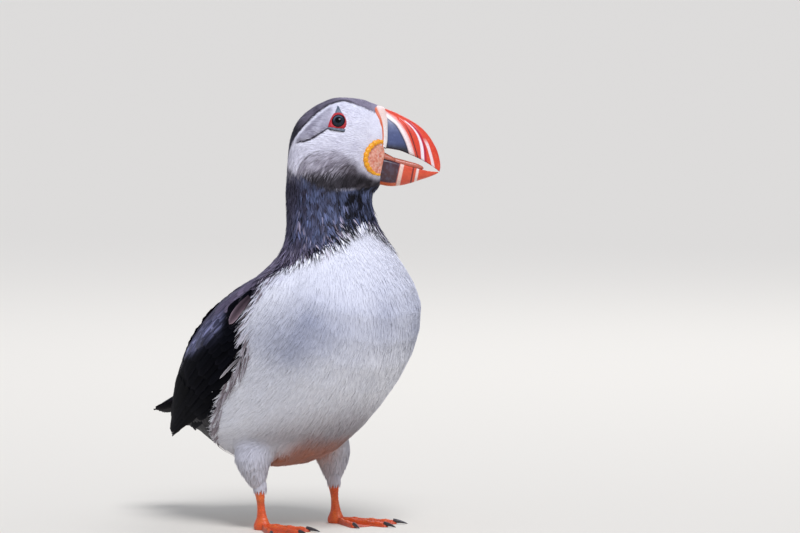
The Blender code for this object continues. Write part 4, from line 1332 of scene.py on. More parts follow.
def mottled(name, roughness, grain, tones, span=(0, 1), relief=0.15, strength=0.5, detail=3.0, cells=False):
    """A material mottled between two tones, in grains or sunk cells of this size in millimetres."""
    material, tree, shader = new_material(name, roughness)
    place = add(tree, "ShaderNodeTexCoord").outputs["Object"]
    spots = {"Vector": place, "Scale": 1 / (grain * MM)}
    if cells:
        pattern = add(tree, "ShaderNodeTexVoronoi", spots).outputs["Distance"]
    else:
        pattern = add(tree, "ShaderNodeTexNoise", {**spots, "Detail": detail}).outputs["Fac"]
    mottle = add(tree, "ShaderNodeValToRGB", {"Fac": pattern})
    for stop, position, tone in zip(mottle.color_ramp.elements, span, tones):
        stop.position = position
        stop.color = (*linear(tone), 1)
    tree.links.new(mottle.outputs["Color"], shader.inputs["Base Color"])
    if relief:
        height = {"Height": pattern, "Distance": relief * MM, "Strength": strength}
        bump = add(tree, "ShaderNodeBump", height, invert=cells)
        tree.links.new(bump.outputs["Normal"], shader.inputs["Normal"])
    return material, tree, shader, mottle.outputs["Color"]


def soften(shader, softness, depth=1.0):
    """Lets light into flesh to this depth in millimetres, so that it looks soft and moist."""
    shader.inputs["Subsurface Weight"].default_value = softness
    shader.inputs["Subsurface Scale"].default_value = depth * MM


# Wet cornea: smooth and clear, so it gives one small, sharp highlight over the dark iris.
eye_material, tree, shader = new_material("wet_cornea_over_iris", 0.12)
shader.inputs["Specular IOR Level"].default_value = 0.1
shader.inputs["Coat Weight"].default_value = 0.15
shader.inputs["Coat Roughness"].default_value = 0.04
colour = add(tree, "ShaderNodeAttribute", attribute_name="colour")
tree.links.new(colour.outputs["Color"], shader.inputs["Base Color"])

# Bare skin: finely beaded and a little moist, bright red where blood shows through.
lid_tones = ("#d81f2c", "#9c0f1c")
lid_material, _, shader, _ = mottled(
    "bare_vermilion_skin", 0.42, LID_GRAIN, lid_tones, relief=0.12, strength=0.6, cells=True
)
soften(shader, 0.15, 0.8)

# Blue-grey horn: hard and satin, mottled, and dark along the lower edge.
plate_tones = ("#39434f", "#74818f")
plate_material, tree, shader, mottle = mottled(
    "blue_grey_horn", 0.45, PLATE_GRAIN, plate_tones, (0.3, 0.7), detail=4.0
)
edge_tone = add(tree, "ShaderNodeAttribute", attribute_name="colour").outputs["Color"]
parts = {"Factor": 1.0, "A": mottle, "B": edge_tone}
tint = add(tree, "ShaderNodeMix", parts, data_type="RGBA", blend_type="MULTIPLY")
tree.links.new(tint.outputs["Result"], shader.inputs["Base Color"])

for side_name, side in SIDES:
    centre = middle(f"eye_{side_name}")
    gaze = (GAZE * (1, side, 1)) @ HEAD_AXES
    across = unit(np.cross(gaze, HEAD_UP))
    up = np.cross(across, gaze)
    polar = np.radians(np.concatenate([np.linspace(0.5, 48, 40), np.linspace(54, 179, 14)]))
    around = np.linspace(0, 2 * math.pi, EYE_STEPS, endpoint=False)
    out = np.minimum(np.sin(polar)[:, None] * EYE_RADIUS, OPENING)
    bulge = CORNEA_HEIGHT * np.exp(-((out / 3.0) ** 2)) * (polar < 1.5)[:, None]
    deep = np.cos(polar)[:, None] * EYE_RADIUS + bulge
    rim = across * (out * np.cos(around))[..., None] + up * (out * np.sin(around))[..., None]
    grid = centre + (gaze * deep[..., None] + rim) * MM
    reach = np.broadcast_to(out, (len(polar), EYE_STEPS)).ravel()
    spokes = noise(np.stack([np.cos(around) * 9, np.sin(around) * 9, around * 0], 1) * MM, 0.8, 5)
    colours = plain("#222a35", len(reach)) * (1 + 0.35 * np.tile(spokes, len(polar)))[:, None]
    # A painted reflection of the sky lightens the iris along its upper side.
    above = np.tile(ramp(np.sin(around + 0.4), -0.1, 0.9), len(polar))
    colours = blend(colours, "#5a6878", 0.75 * above * ramp(reach, 1.9, 2.5) * ramp(-reach, -3.3, -2.6))
    colours = blend(colours, "#050506", ramp(-reach, -PUPIL_RADIUS - 0.15, -PUPIL_RADIUS + 0.1))
    colours = blend(colours, "#07070a", ramp(reach, IRIS_RADIUS - 0.75, IRIS_RADIUS - 0.2))
    colours = colours.reshape(len(polar), EYE_STEPS, 3)
    name = f"eyeball_{side_name}"
    sculpted(name, grid, True, True, eye_material, (f"eye_{side_name}",), colours)

    # The ring of bare skin runs from the ball out to the feathers, and is tucked in at both edges.
    theta = np.linspace(0, 2 * math.pi, LID_STEPS, endpoint=False)
    outline = closed_curve(LID_OUTLINE, 12)
    bearing = np.arctan2(outline[:, 1], outline[:, 0])
    order = np.argsort(bearing)
    radius = np.interp(theta, bearing[order], np.hypot(*outline[order].T), period=2 * math.pi)
    outer_ahead = EYE_AT[0] + radius * np.cos(theta)
    outer_up = EYE_AT[1] + radius * np.sin(theta)
    outer = from_head(outer_ahead, side * (on_head(outer_ahead, outer_up, side) + 0.35), outer_up)
    inner_deep = math.sqrt(EYE_RADIUS**2 - LID_INNER**2) + 0.12
    fore = unit(HEAD_AHEAD - gaze * (HEAD_AHEAD @ gaze))
    high = unit(HEAD_UP - gaze * (HEAD_UP @ gaze))
    inner = centre + gaze * inner_deep * MM
    inner = inner + (fore * np.cos(theta)[:, None] + high * np.sin(theta)[:, None]) * LID_INNER * MM
    share = np.linspace(0, 1, LID_ROWS)[:, None, None]
    creases = LID_CREASE * np.sin(theta * 23)[:, None] * np.sin(math.pi * share)
    swell = LID_RIB * np.sin(math.pi * share**0.7) + creases
    grid = inner * (1 - share) + outer * share + gaze * swell * MM
    grid = np.concatenate([(inner - gaze * 0.9 * MM)[None], grid, (outer - gaze * 2.2 * MM)[None]])
    sculpted(f"lid_{side_name}", grid, True, False, lid_material)

    for plate, shape in PLATES.items():
        outline = closed_curve(shape, 8)
        spot = outline.mean(0)
        rest = on_head(EYE_AT[0] + outline[:, 0], EYE_AT[1] + outline[:, 1], side)
        rings, tones = [], []
        for size, height in PLATE_RINGS:
            flat = spot + (outline - spot) * size
            # The lower plate is darker along its lower edge.
            edge_tone = ramp(flat[:, 1] - np.interp(flat[:, 0], (-5, 3.5), (-4.9, -6.2)), 0.1, 0.7)
            tones.append(np.tile((0.1 + 0.9 * edge_tone)[:, None], 3))
            level = rest * size + rest.mean() * (1 - size)
            out = side * (level + height + 0.25)
            rings.append(from_head(EYE_AT[0] + flat[:, 0], out, EYE_AT[1] + flat[:, 1]))
        name = f"horn_plate_{plate}_{side_name}"
        node = f"eye_plate_{plate}_{side_name}"
        rings, tones = np.array(rings), np.array(tones)
        sculpted(name, rings, True, True, plate_material, (node,), tones)

# The furrow behind the eye is a crease, whose shade is painted as a line of fine dark feathers laid end to
# end.
CREASE_FEATHERS = 90
furrow = smooth_curve(FURROW, 12)
place = np.linspace(0, 1, len(furrow))
t = np.linspace(0, 1, 5)
for side_name, side in SIDES:
    random = np.random.default_rng(110 + side)
    share = random.uniform(0, 0.78, CREASE_FEATHERS)[:, None] + 0.13 * t
    ahead = np.interp(share, place, furrow[:, 0])
    up = np.interp(share, place, furrow[:, 1]) + random.normal(0, 0.12, CREASE_FEATHERS)[:, None]
    lines = from_head(ahead, side * on_head(ahead, up, side), up)
    normals = snap(lines.reshape(-1, 3))[1].reshape(lines.shape)
    halves = random.uniform(0.12, 0.22, CREASE_FEATHERS)[:, None] * pointed(t) * (1 - 0.5 * share)
    points = blades(lines, normals, halves, 0.5 + 0.12 * t + 0 * share, 3, 0.2)
    # Painted shade, darker in some feathers than in others.
    depth = random.uniform(0.7, 1.5, (CREASE_FEATHERS, 1, 1, 1))
    colours = np.tile(linear("#3a3440"), (*points.shape[:3], 1)) * depth
    name = f"furrow_{side_name}"
    show(name, feather_mesh(name, points, colours, random), face_material)

# ---- bill -----------------------------------------------------------------------------------
# Deep, narrow and triangular, of thin horn plates grown over bone. A slate plate fills the base,
# then come a cream chevron and red bands parted by grooves and pale ridges.

# The edges of each half in the head's own plane, from the base to the tip.
CULMEN = [
    (22, 22.8), (27.7, 21.7), (33, 19.8), (37, 17.9), (41.5, 15.6), (46.2, 12.8), (50.2, 9.5),
    (53.5, 5.7), (56.2, 1.4), (58.4, -3.2), (59.7, -8.2), (60.1, -12), (59.6, -14.9),
]
UPPER_EDGE = [
    (22, -0.8), (28.8, -1.2), (33, -1.8), (37.5, -2.8), (42.5, -4.9), (48, -7.4), (53, -10.2),
    (57, -12.9), (59.2, -14.7),
]
KEEL = [
    (21, -21.6), (26.2, -22.6), (31, -23.3), (37, -22.9), (43, -21.5), (48, -19.8), (53, -18.2),
    (57, -16.6), (59, -15.5),
]
LOWER_EDGE = [
    (21, -6.8), (26.2, -7.6), (31, -8.6), (37, -10.4), (43, -12.2), (49, -13.7), (54, -14.7),
    (58.8, -15.1),
]
BILL_HALF_WIDTH = 7.4
RIDGE_HALF_WIDTH = 2.0
BILL_STEPS = 150  # along the bill
ARCH_STEPS = 56  # up each side
HOLLOW_SHARE = 0.16  # of the half's depth, how far its inner side is hollowed
HORN_SCRATCH = 0.7
# Front edges of the bands, from the base outwards, as places ahead of and above the centre.
SLATE_EDGE = [
    (25.5, 22), (27.9, 17.4), (31.8, 14.3), (35.1, 11.2), (38.9, 4.3), (41.0, -1.0), (42.4, -6.5),
]
CREAM_EDGE = [
    (24.5, 24), (28.5, 20.2), (33.9, 16.0), (38.3, 11.2), (41.4, 6.1), (43.8, -0.1), (45.6, -6.4),
    (46.5, -10),
]
GROOVE = [(36.0, 15.8), (40.5, 10.6), (43.0, 5.9), (44.9, 0.4), (46.8, -6.2), (47.6, -10)]
PALE_RIDGE = [(38.3, 15.3), (42.7, 11.8), (45.9, 8.0), (48.1, 3.6), (49.4, -1.4), (49.9, -8), (50, -12)]
CRIMSON = [(39.6, 15.4), (44.0, 11.6), (47.3, 7.7), (49.5, 3.2), (50.9, -1.6), (51.5, -8), (51.7, -12)]
TIP_STRIPE = [(50.6, 4.4), (52.6, 0.4), (54.0, -3.9), (55.2, -8.4), (56.0, -12.4)]
# Each groove's or ridge's height over the side, and its half width.
RELIEF = (
    (GROOVE, -0.42, 0.42),
    (SLATE_EDGE, -0.22, 0.35),
    (CREAM_EDGE, -0.2, 0.4),
    (PALE_RIDGE, 0.22, 0.8),
    (CRIMSON, -0.24, 0.45),
    (TIP_STRIPE, -0.12, 0.7),
)
# The lower half's bands slant: how far ahead each lies at one level, its slant, width and colour.
LOWER_LEVEL = -18.0
LOWER_BANDS = ((46.2, 0.2, 1.5, "#f4d9cf"), (43.6, 0.2, 0.8, "#5f1b22"), (36.6, 0.22, 2.2, "#f1cdbd"))


def stripe(distance, width):
    """1 along the middle of a line of this width, and 0 beyond it."""
    return ramp(width / 2 + 0.15 - np.abs(distance), 0, 0.3)


def horn_relief(ahead, up):
    """Grooves and ridges of the upper half's side, in millimetres."""
    height = 0
    for line, rise, half_width in RELIEF:
        height = height + rise * np.exp(-((off_curve(ahead, up, line) / half_width) ** 2))
    return height * (1 - 0.6 * ramp(ahead + 1.2 * up, 25, 34) * ramp(up, 12, 20))


def upper_colour(ahead, up, points):
    """Colours of the upper half: slate, cream chevron, red with a groove, ridge and stripes, and a painted
    reflection near the tip.
    """
    fine = noise(points, 1.3, 11)
    broad = noise(points, 5, 12)
    by_tip, crimson, ridge, groove, behind, slate_side, from_top = (
        off_curve(ahead, up, line)
        for line in (TIP_STRIPE, CRIMSON, PALE_RIDGE, GROOVE, CREAM_EDGE, SLATE_EDGE, CULMEN)
    )
    colour = plain("#e24426", len(points))
    colour = blend(colour, "#c92e1f", 0.4 * ramp(broad, -0.2, 0.8))
    colour = blend(colour, "#ee6a45", 0.5 * ramp(fine, 0.1, 0.9))
    below_top = 1 - ramp(-np.abs(from_top), -4.6, -3.2)
    # A painted reflection turns the lower part of the red near the tip pale pink.
    colour = blend(colour, "#f1b9b4", 0.55 * ramp(by_tip, -0.2, 0.6) * below_top * ramp(-up, -2.5, 6))
    colour = blend(colour, "#f6dcdc", stripe(by_tip, 1.6) * ramp(-up, -5, 0))
    colour = blend(colour, "#c21a36", stripe(crimson, 1.3) * ramp(ahead, 40, 43))
    ridge_width = 0.5 + 1.3 * ramp(-up, -14, 4)
    colour = blend(colour, "#f8ecef", stripe(ridge, ridge_width) * ramp(ahead, 38.5, 40.5))
    colour = blend(colour, "#5f1b22", stripe(groove, 0.55) * ramp(-up, -13, -7))
    cream = plain("#f4dcd9", len(points))
    cream = blend(cream, "#e8a193", 0.7 * ramp(behind, -1.3, -0.2) + 0.25 * ramp(fine, 0, 1))
    cream = blend(cream, "#fbf1ea", ramp(-np.abs(behind + 2.0), -1.0, -0.2) * 0.7)
    colour += (cream - colour) * ramp(-behind, -0.25, 0.25)[:, None]
    slate = plain("#4a547a", len(points))
    slate = blend(slate, "#69749a", 0.5 * ramp(fine + broad, -0.3, 1.2))
    slate = blend(slate, "#15161f", ramp(-up, -2.5, 3) * 0.9)
    slate = blend(slate, "#1d1f2c", ramp(slate_side, -1.2, -0.1) * 0.8 + ramp(-ahead, -30.5, -29) * 0.7)
    colour += (slate - colour) * ramp(-slate_side, -0.25, 0.25)[:, None]
    return colour


def lower_colour(ahead, up, points):
    """Colours of the lower half of the bill, which follow the upper half's bands."""
    fine = noise(points, 1.3, 13)
    colour = plain("#df5433", len(points))
    colour = blend(colour, "#c93a24", 0.5 * ramp(fine, -0.4, 0.8))
    for front, slant, width, code in LOWER_BANDS:
        colour = blend(colour, code, stripe(ahead - front - slant * (up - LOWER_LEVEL), width))
    # The lower half's base is slate painted dark with shade, darkest near the gape.
    slate = plain("#4a2a33", len(points))
    slate = blend(slate, "#5a5466", 0.6 * ramp(fine, -0.3, 0.8))
    slate = blend(slate, "#2a1f28", ramp(up, -11, -8))
    base = ramp(35.2 + 0.22 * (up - LOWER_LEVEL) - ahead, -0.3, 0.3)
    colour += (slate - colour) * base[:, None]
    return blend(colour, "#e06a3c", base * ramp(2.2 - np.abs(off_curve(ahead, up, KEEL)), 0, 0.8))


def mandible(ridge_line, edge_line, relief):
    """Rings round one half of the bill, in the head's millimetres: (rings, around, 3)."""
    along = np.linspace(0, 1, BILL_STEPS)
    curves = [smooth_curve(line, 24) for line in (ridge_line, edge_line)]
    ridge, edge = (
        np.stack([np.interp(along, np.linspace(0, 1, len(curve)), values) for values in curve.T], 1)
        for curve in curves
    )
    wide = BILL_HALF_WIDTH * (1 - 0.9 * np.clip((edge[:, 0] - 28.8) / 30.6, 0, 1) ** 1.3)
    up = np.sin(np.linspace(0, math.pi / 2, ARCH_STEPS))
    top = np.minimum(RIDGE_HALF_WIDTH, wide * 0.6)[:, None]
    side = top + (wide[:, None] - top) * (1 - up**2.2)
    side = side * np.sqrt(np.maximum(1 - up**14, 0))
    side *= 1 - 0.13 * np.exp(-((up / 0.05) ** 2))
    flat = edge[:, None] * (1 - up[:, None]) + ridge[:, None] * up[:, None]
    if relief:
        push = relief(flat[..., 0].ravel(), flat[..., 1].ravel()).reshape(side.shape)
        side = side + push * (up < 0.985)
    side = np.maximum(side, 0)
    half = np.stack([flat[..., 0], side, flat[..., 1]], -1)
    other = half[:, ::-1] * (1, -1, 1)
    hollow = np.linspace(-1, 1, 9)[1:-1]
    roof = edge[:, None] + (ridge - edge)[:, None] * (HOLLOW_SHARE * (1 - hollow[:, None] ** 2))
    inner = np.stack([roof[..., 0], side[:, :1] * hollow * 0.9, roof[..., 1]], -1)
    return np.concatenate([half, other, inner], 1)


# Bill horn: hard, smooth and satin under a thin waxy coat, with fine scratches along it.
horn_material, tree, shader = new_material("smooth_bill_horn", 0.34)
shader.inputs["Specular IOR Level"].default_value = 0.5
shader.inputs["Coat Weight"].default_value = 0.15
shader.inputs["Coat Roughness"].default_value = 0.25
place = add(tree, "ShaderNodeTexCoord").outputs["Object"]
scratches = {"Vector": place, "Scale": 1 / (HORN_SCRATCH * MM), "Detail": 5.0}
scratches = add(tree, "ShaderNodeTexNoise", scratches).outputs["Fac"]
shaded_by(tree, shader, scratches, (0.3, 0.7), (0.88, 1.08), 0.08, 0.35)

for name, node, ridge_line, edge_line, paint_rule, relief in (
    ("beak_upper", "bill_upper", CULMEN, UPPER_EDGE, upper_colour, horn_relief),
    ("beak_lower", "bill_lower", KEEL, LOWER_EDGE, lower_colour, None),
):
    rings = mandible(ridge_line, edge_line, relief)
    grid = from_head(*np.moveaxis(rings, -1, 0))
    flat = rings.reshape(-1, 3)
    colours = paint_rule(flat[:, 0], flat[:, 2], grid.reshape(-1, 3)).reshape(grid.shape)
    colours[:, 2 * ARCH_STEPS :] = linear("#8c3230")
    sculpted(name, grid, True, True, horn_material, (node,), colours)

# The cere: a raised cream rim of soft horn round the base of the bill, with an orange line
# along its back, where the feathers start.
CERE_FRONT = [(27.6, 22.6), (29.0, 17.6), (29.6, 12.4), (29.5, 3.0), (28.7, -1.6)]
CERE_ROWS = 15
CERE_STEPS = 60
CERE_SWELL = 0.55
CERE_BOTTOM = (-0.6, -1.5)  # at its back and its front, then how far it rises from there
CERE_RISE = (24.0, 23.6)

up_share = np.sin(np.linspace(0, math.pi / 2, CERE_STEPS))
levels = [bottom + up_share * rise for bottom, rise in zip(CERE_BOTTOM, CERE_RISE)]
back, front = (
    np.interp(level, curve[:, 1], curve[:, 0])
    for level, curve in zip(levels, (smooth_curve(CERE_BACK, 16)[::-1], smooth_curve(CERE_FRONT, 16)[::-1]))
)
beside = on_head(back - 0.9, np.minimum(levels[0], 22.5), 1)
beside = np.minimum.accumulate(np.minimum(beside, 10))
for _ in range(8):
    beside[1:-1] = 0.5 * beside[1:-1] + 0.25 * (beside[:-2] + beside[2:])
by_bill = RIDGE_HALF_WIDTH + 0.35 + (BILL_HALF_WIDTH - RIDGE_HALF_WIDTH) * (1 - up_share**2.2)
rings = []
for s in np.linspace(0, 1, CERE_ROWS):
    level = levels[0] * (1 - s) + levels[1] * s
    wide = ((0.3 + beside) * (1 - s) + by_bill * s) * np.sqrt(np.maximum(1 - up_share**16, 0))
    swell = CERE_SWELL * math.sin(math.pi * s) ** 0.6
    ahead = back * (1 - s) + front * s
    half = np.stack([ahead, wide + swell * (up_share < 0.99), level + swell * up_share], -1)
    rings.append(np.concatenate([half, half[::-1] * (1, -1, 1)]))
rings = np.array(rings)
rings = np.concatenate([rings[:1] * (1, 0.93, 0.97) - (1.0, 0, 0), rings])
grid = from_head(*np.moveaxis(rings, -1, 0))
share = np.array([0, *np.linspace(0, 1, CERE_ROWS)])[:, None] * np.ones(rings.shape[1])
colours = plain("#f6efe8", share.size)
colours = blend(colours, "#f3c9b6", ramp(rings[..., 2].ravel(), 8, 19) * 0.7)
colours = blend(colours, "#dccabf", 0.4 * ramp(noise(grid.reshape(-1, 3), 1.0, 15), 0, 0.9))
colours = blend(colours, "#df6a3e", ramp(-share.ravel(), -0.3, -0.14))
sculpted("cere", grid, False, False, horn_material, ("bill_cere",), colours.reshape(grid.shape))

# The mouth: soft, wet flesh lines it, and the tongue is a tapered bar of it with a groove on top.
tongue_tones = ("#a8493a", "#d98a6c")
tongue_material, _, shader, _ = mottled("wet_tongue_flesh", 0.3, 0.9, tongue_tones)
soften(shader, 0.2)
MOUTH_STEPS = 40
MOUTH_AROUND = 48
MOUTH_SHAPES = (
    # name, replaced nodes, places ahead, top edge, bottom edge, half width
    ("mouth_lining", (), (20, 35), (0.4, -7.5), (-9.4, -10.2), (6.2, 4.8)),
    ("tongue_flesh", ("tongue",), (24, 50.5), (-4.0, -11.2), (-10.0, -14.6), (4.2, 2.0)),
)
along = np.linspace(0, 1, MOUTH_STEPS)
nose = np.sqrt(np.clip(1 - np.clip((along - 0.8) / 0.2, 0, 1) ** 2, 0.0004, 1))
turn = np.linspace(0, 2 * math.pi, MOUTH_AROUND, endpoint=False)
c, d = np.cos(turn), np.sin(turn)
for name, nodes, *ends in MOUTH_SHAPES:
    ahead, top, bottom, wide = (np.interp(along, (0, 1), pair) for pair in ends)
    left = (wide * nose)[:, None] * np.sign(c) * np.abs(c) ** 0.8
    groove = 0.35 * np.exp(-((c / 0.15) ** 2)) * (d > 0)
    half = ((top - bottom) / 2 * nose)[:, None]
    up = ((top + bottom) / 2)[:, None] + half * (np.sign(d) * np.abs(d) ** 0.8 - groove)
    grid = from_head(ahead[:, None] + 0 * left, left, up)
    sculpted(name, grid, True, True, tongue_material, nodes)

# ---- rosettes -------------------------------------------------------------------------------
# A pleated fold of warty yellow-orange skin round each corner of the mouth, with a soft peach
# web inside it.

ROSETTE_LINE = [
    (27.2, 1.6), (25.1, 2.0), (22.5, 1.2), (20.0, -0.9), (17.9, -3.9), (17.0, -7.4), (17.5, -11),
    (19.4, -14.2), (22.4, -16.4), (25.5, -17.0),
]
ROSETTE_THICK = 1.65
WARTS = 11
ROSETTE_STEPS = 150
ROSETTE_AROUND = 22
ROSETTE_GRAIN = 0.8
GAPE_CORNER = (28.0, -5.0)  # where the web meets the bill, ahead and above
WEB_ROWS = 14
WEB_GRAIN = 1.4

# Warty skin: waxy and full of fat, so it is bright and even, with dull highlights on the warts.
rosette_tones = ("#e58708", "#fbb81c")
rosette_material, _, shader, _ = mottled("warty_orange_skin", 0.4, ROSETTE_GRAIN, rosette_tones, (0.3, 0.7))
soften(shader, 0.2)

# Gape skin: thin, damp and finely wrinkled, with blood in it.
web_tones = ("#c96a4c", "#eeb9a2")
web_material, _, shader, _ = mottled("gape_skin", 0.4, WEB_GRAIN, web_tones, (0.3, 0.7), 0.25, 0.6, 4.0)
soften(shader, 0.15)

curve = smooth_curve(ROSETTE_LINE, 20)
pick = np.linspace(0, len(curve) - 1, ROSETTE_STEPS)
ahead, up = (np.interp(pick, np.arange(len(curve)), values) for values in curve.T)
share = np.linspace(0, 1, ROSETTE_STEPS)
beads = np.abs(np.sin(share * math.pi * WARTS)) ** 0.7
thick = ROSETTE_THICK * (0.7 + 0.3 * ramp(share, 0, 0.2)) * (1 - 0.6 * ramp(share, 0.7, 1))
thick = (thick * (0.66 + 0.34 * beads))[:, None]
heading = unit(np.gradient(np.stack([ahead, up], 1), axis=0))
turn = np.linspace(0, 2 * math.pi, ROSETTE_AROUND, endpoint=False)
reach = np.linspace(0, 1, WEB_ROWS)[:, None]
for side_name, side in SIDES:
    rest = on_head(np.minimum(ahead, 23.5), up, side) - 0.55 * np.maximum(ahead - 23.5, 0)
    a = ahead[:, None] + heading[:, 1:] * thick * np.cos(turn)
    u = up[:, None] - heading[:, :1] * thick * np.cos(turn)
    out = rest[:, None] + 0.35 + 0.85 * thick * np.sin(turn)
    name = f"gape_rosette_{side_name}"
    node = f"rosette_{side_name}"
    sculpted(name, from_head(a, side * out, u), True, True, rosette_material, (node,))

    a = ahead * (1 - reach) + GAPE_CORNER[0] * reach
    u = up * (1 - reach) + GAPE_CORNER[1] * reach
    out = (rest + 0.3) * (1 - reach) + 6.6 * reach + 0.9 * np.sin(math.pi * reach)
    over = on_head(np.minimum(a, 25.0), u, side) + 0.4 - 0.8 * np.maximum(a - 25.0, 0)
    out = np.maximum(out, over) + 0.2 * np.sin(reach * 16)
    name = f"gape_web_{side_name}"
    sculpted(name, from_head(a, side * out, u), False, False, web_material)

# ---- legs and feet --------------------------------------------------------------------------
# Short orange-red legs of scaly skin. Three toes are joined by thin webs with a hollow front
# edge, and the sole is flat on the floor. Narrow plates cross each toe, which ends in a claw.

# Each toe's name, its angle outwards from the foot's own line in degrees, and its length.
TOES = (("inner", -31.0, 31.0), ("middle", -2.0, 39.0), ("outer", 25.0, 37.0))
TOES_OUT = 9.0  # how far each foot points outwards, in degrees
TOE_WIDTH = 2.3
TOE_HEIGHT = 4.0
TOE_JOINTS = (0.33, 0.6, 0.82)  # as shares of the toe's length
WEB_REACH = 29.0
WEB_THICK = 1.1
EDGE_THICK = 0.25  # of the webs, at their rim
SCUTE = 1.9  # from one plate on the toes to the next, and on the leg
LEG_SCUTE = 2.1
FOOT_ANGLES = 180
FOOT_STEPS = 90
HEEL = 2.0  # the foot starts this far from the ankle's own axis
SCALE = 0.9  # across one of the small scales between the plates
LEG_TOP = 26.0  # sunk into the thigh's feathers
LEG_RADIUS = 3.3
CLAW_RADIUS = 1.3
CLAW_LENGTH = 8.4
CLAW_HEIGHT = 1.9
CLAW_GRAIN = 0.6


def toe_outline(angle):
    """How far the foot reaches at these angles."""
    reach = np.where((angle > TOES[0][1]) & (angle < TOES[2][1]), WEB_REACH, 5.0)
    for _, toe_angle, length in TOES:
        spread = np.degrees(TOE_WIDTH * 0.95 / length)
        nose = length * np.sqrt(np.maximum(1 - ((angle - toe_angle) / (spread * 1.05)) ** 2, 0)) ** 0.35
        edge = length * np.exp(-(((angle - toe_angle) / 6.0) ** 2))
        reach = np.maximum(reach, np.maximum(edge, np.where(nose > 0, length * 0.9 + 0.1 * nose, 0)))
    return reach


def toe_relief(distance, angle):
    """Height of the foot's top over the floor."""
    height = WEB_THICK * (1 - 0.4 * distance / 39.0)
    height = height + 0.1 * np.sin(np.radians(angle) * 46) * ramp(distance, 8, 16)
    height = height + 0.07 * np.sin(distance * 2.3 + np.sin(angle * 0.35) * 2)
    for _, toe_angle, length in TOES:
        off = distance * np.radians(angle - toe_angle)
        crest = TOE_HEIGHT * (1 - 0.42 * distance / length)
        for joint in TOE_JOINTS:
            crest = crest + 0.45 * np.exp(-(((distance - joint * length) / 2.0) ** 2))
        crest = crest - 0.16 * np.exp(-(((np.mod(distance, SCUTE) - SCUTE / 2) / 0.28) ** 2))
        height = np.maximum(height, crest * np.exp(-((np.abs(off) / TOE_WIDTH) ** 2.4)))
    return height


def foot_tones(code, layers):
    """One colour with others blended over it, each by its own share."""
    tones = plain(code, len(layers[0][1]))
    for layer_code, share in layers:
        tones = blend(tones, layer_code, share)
    return tones


# Scaly skin: small round scales, satin rather than wet, with some red light coming through.
leg_material, tree, shader = new_material("orange_scaly_skin", 0.42)
soften(shader, 0.12)
place = add(tree, "ShaderNodeTexCoord").outputs["Object"]
scales = add(tree, "ShaderNodeTexVoronoi", {"Vector": place, "Scale": 1 / (SCALE * MM)})
shaded_by(tree, shader, scales.outputs["Distance"], (0, 0.7), (1.08, 0.78), 0.18, 0.7, sunk=True)

# Claw horn: black, hard and polished by wear, with paler brown grain.
claw_material = mottled("black_claw_horn", 0.32, CLAW_GRAIN, ("#131216", "#47403f"), relief=0, detail=4.0)[0]

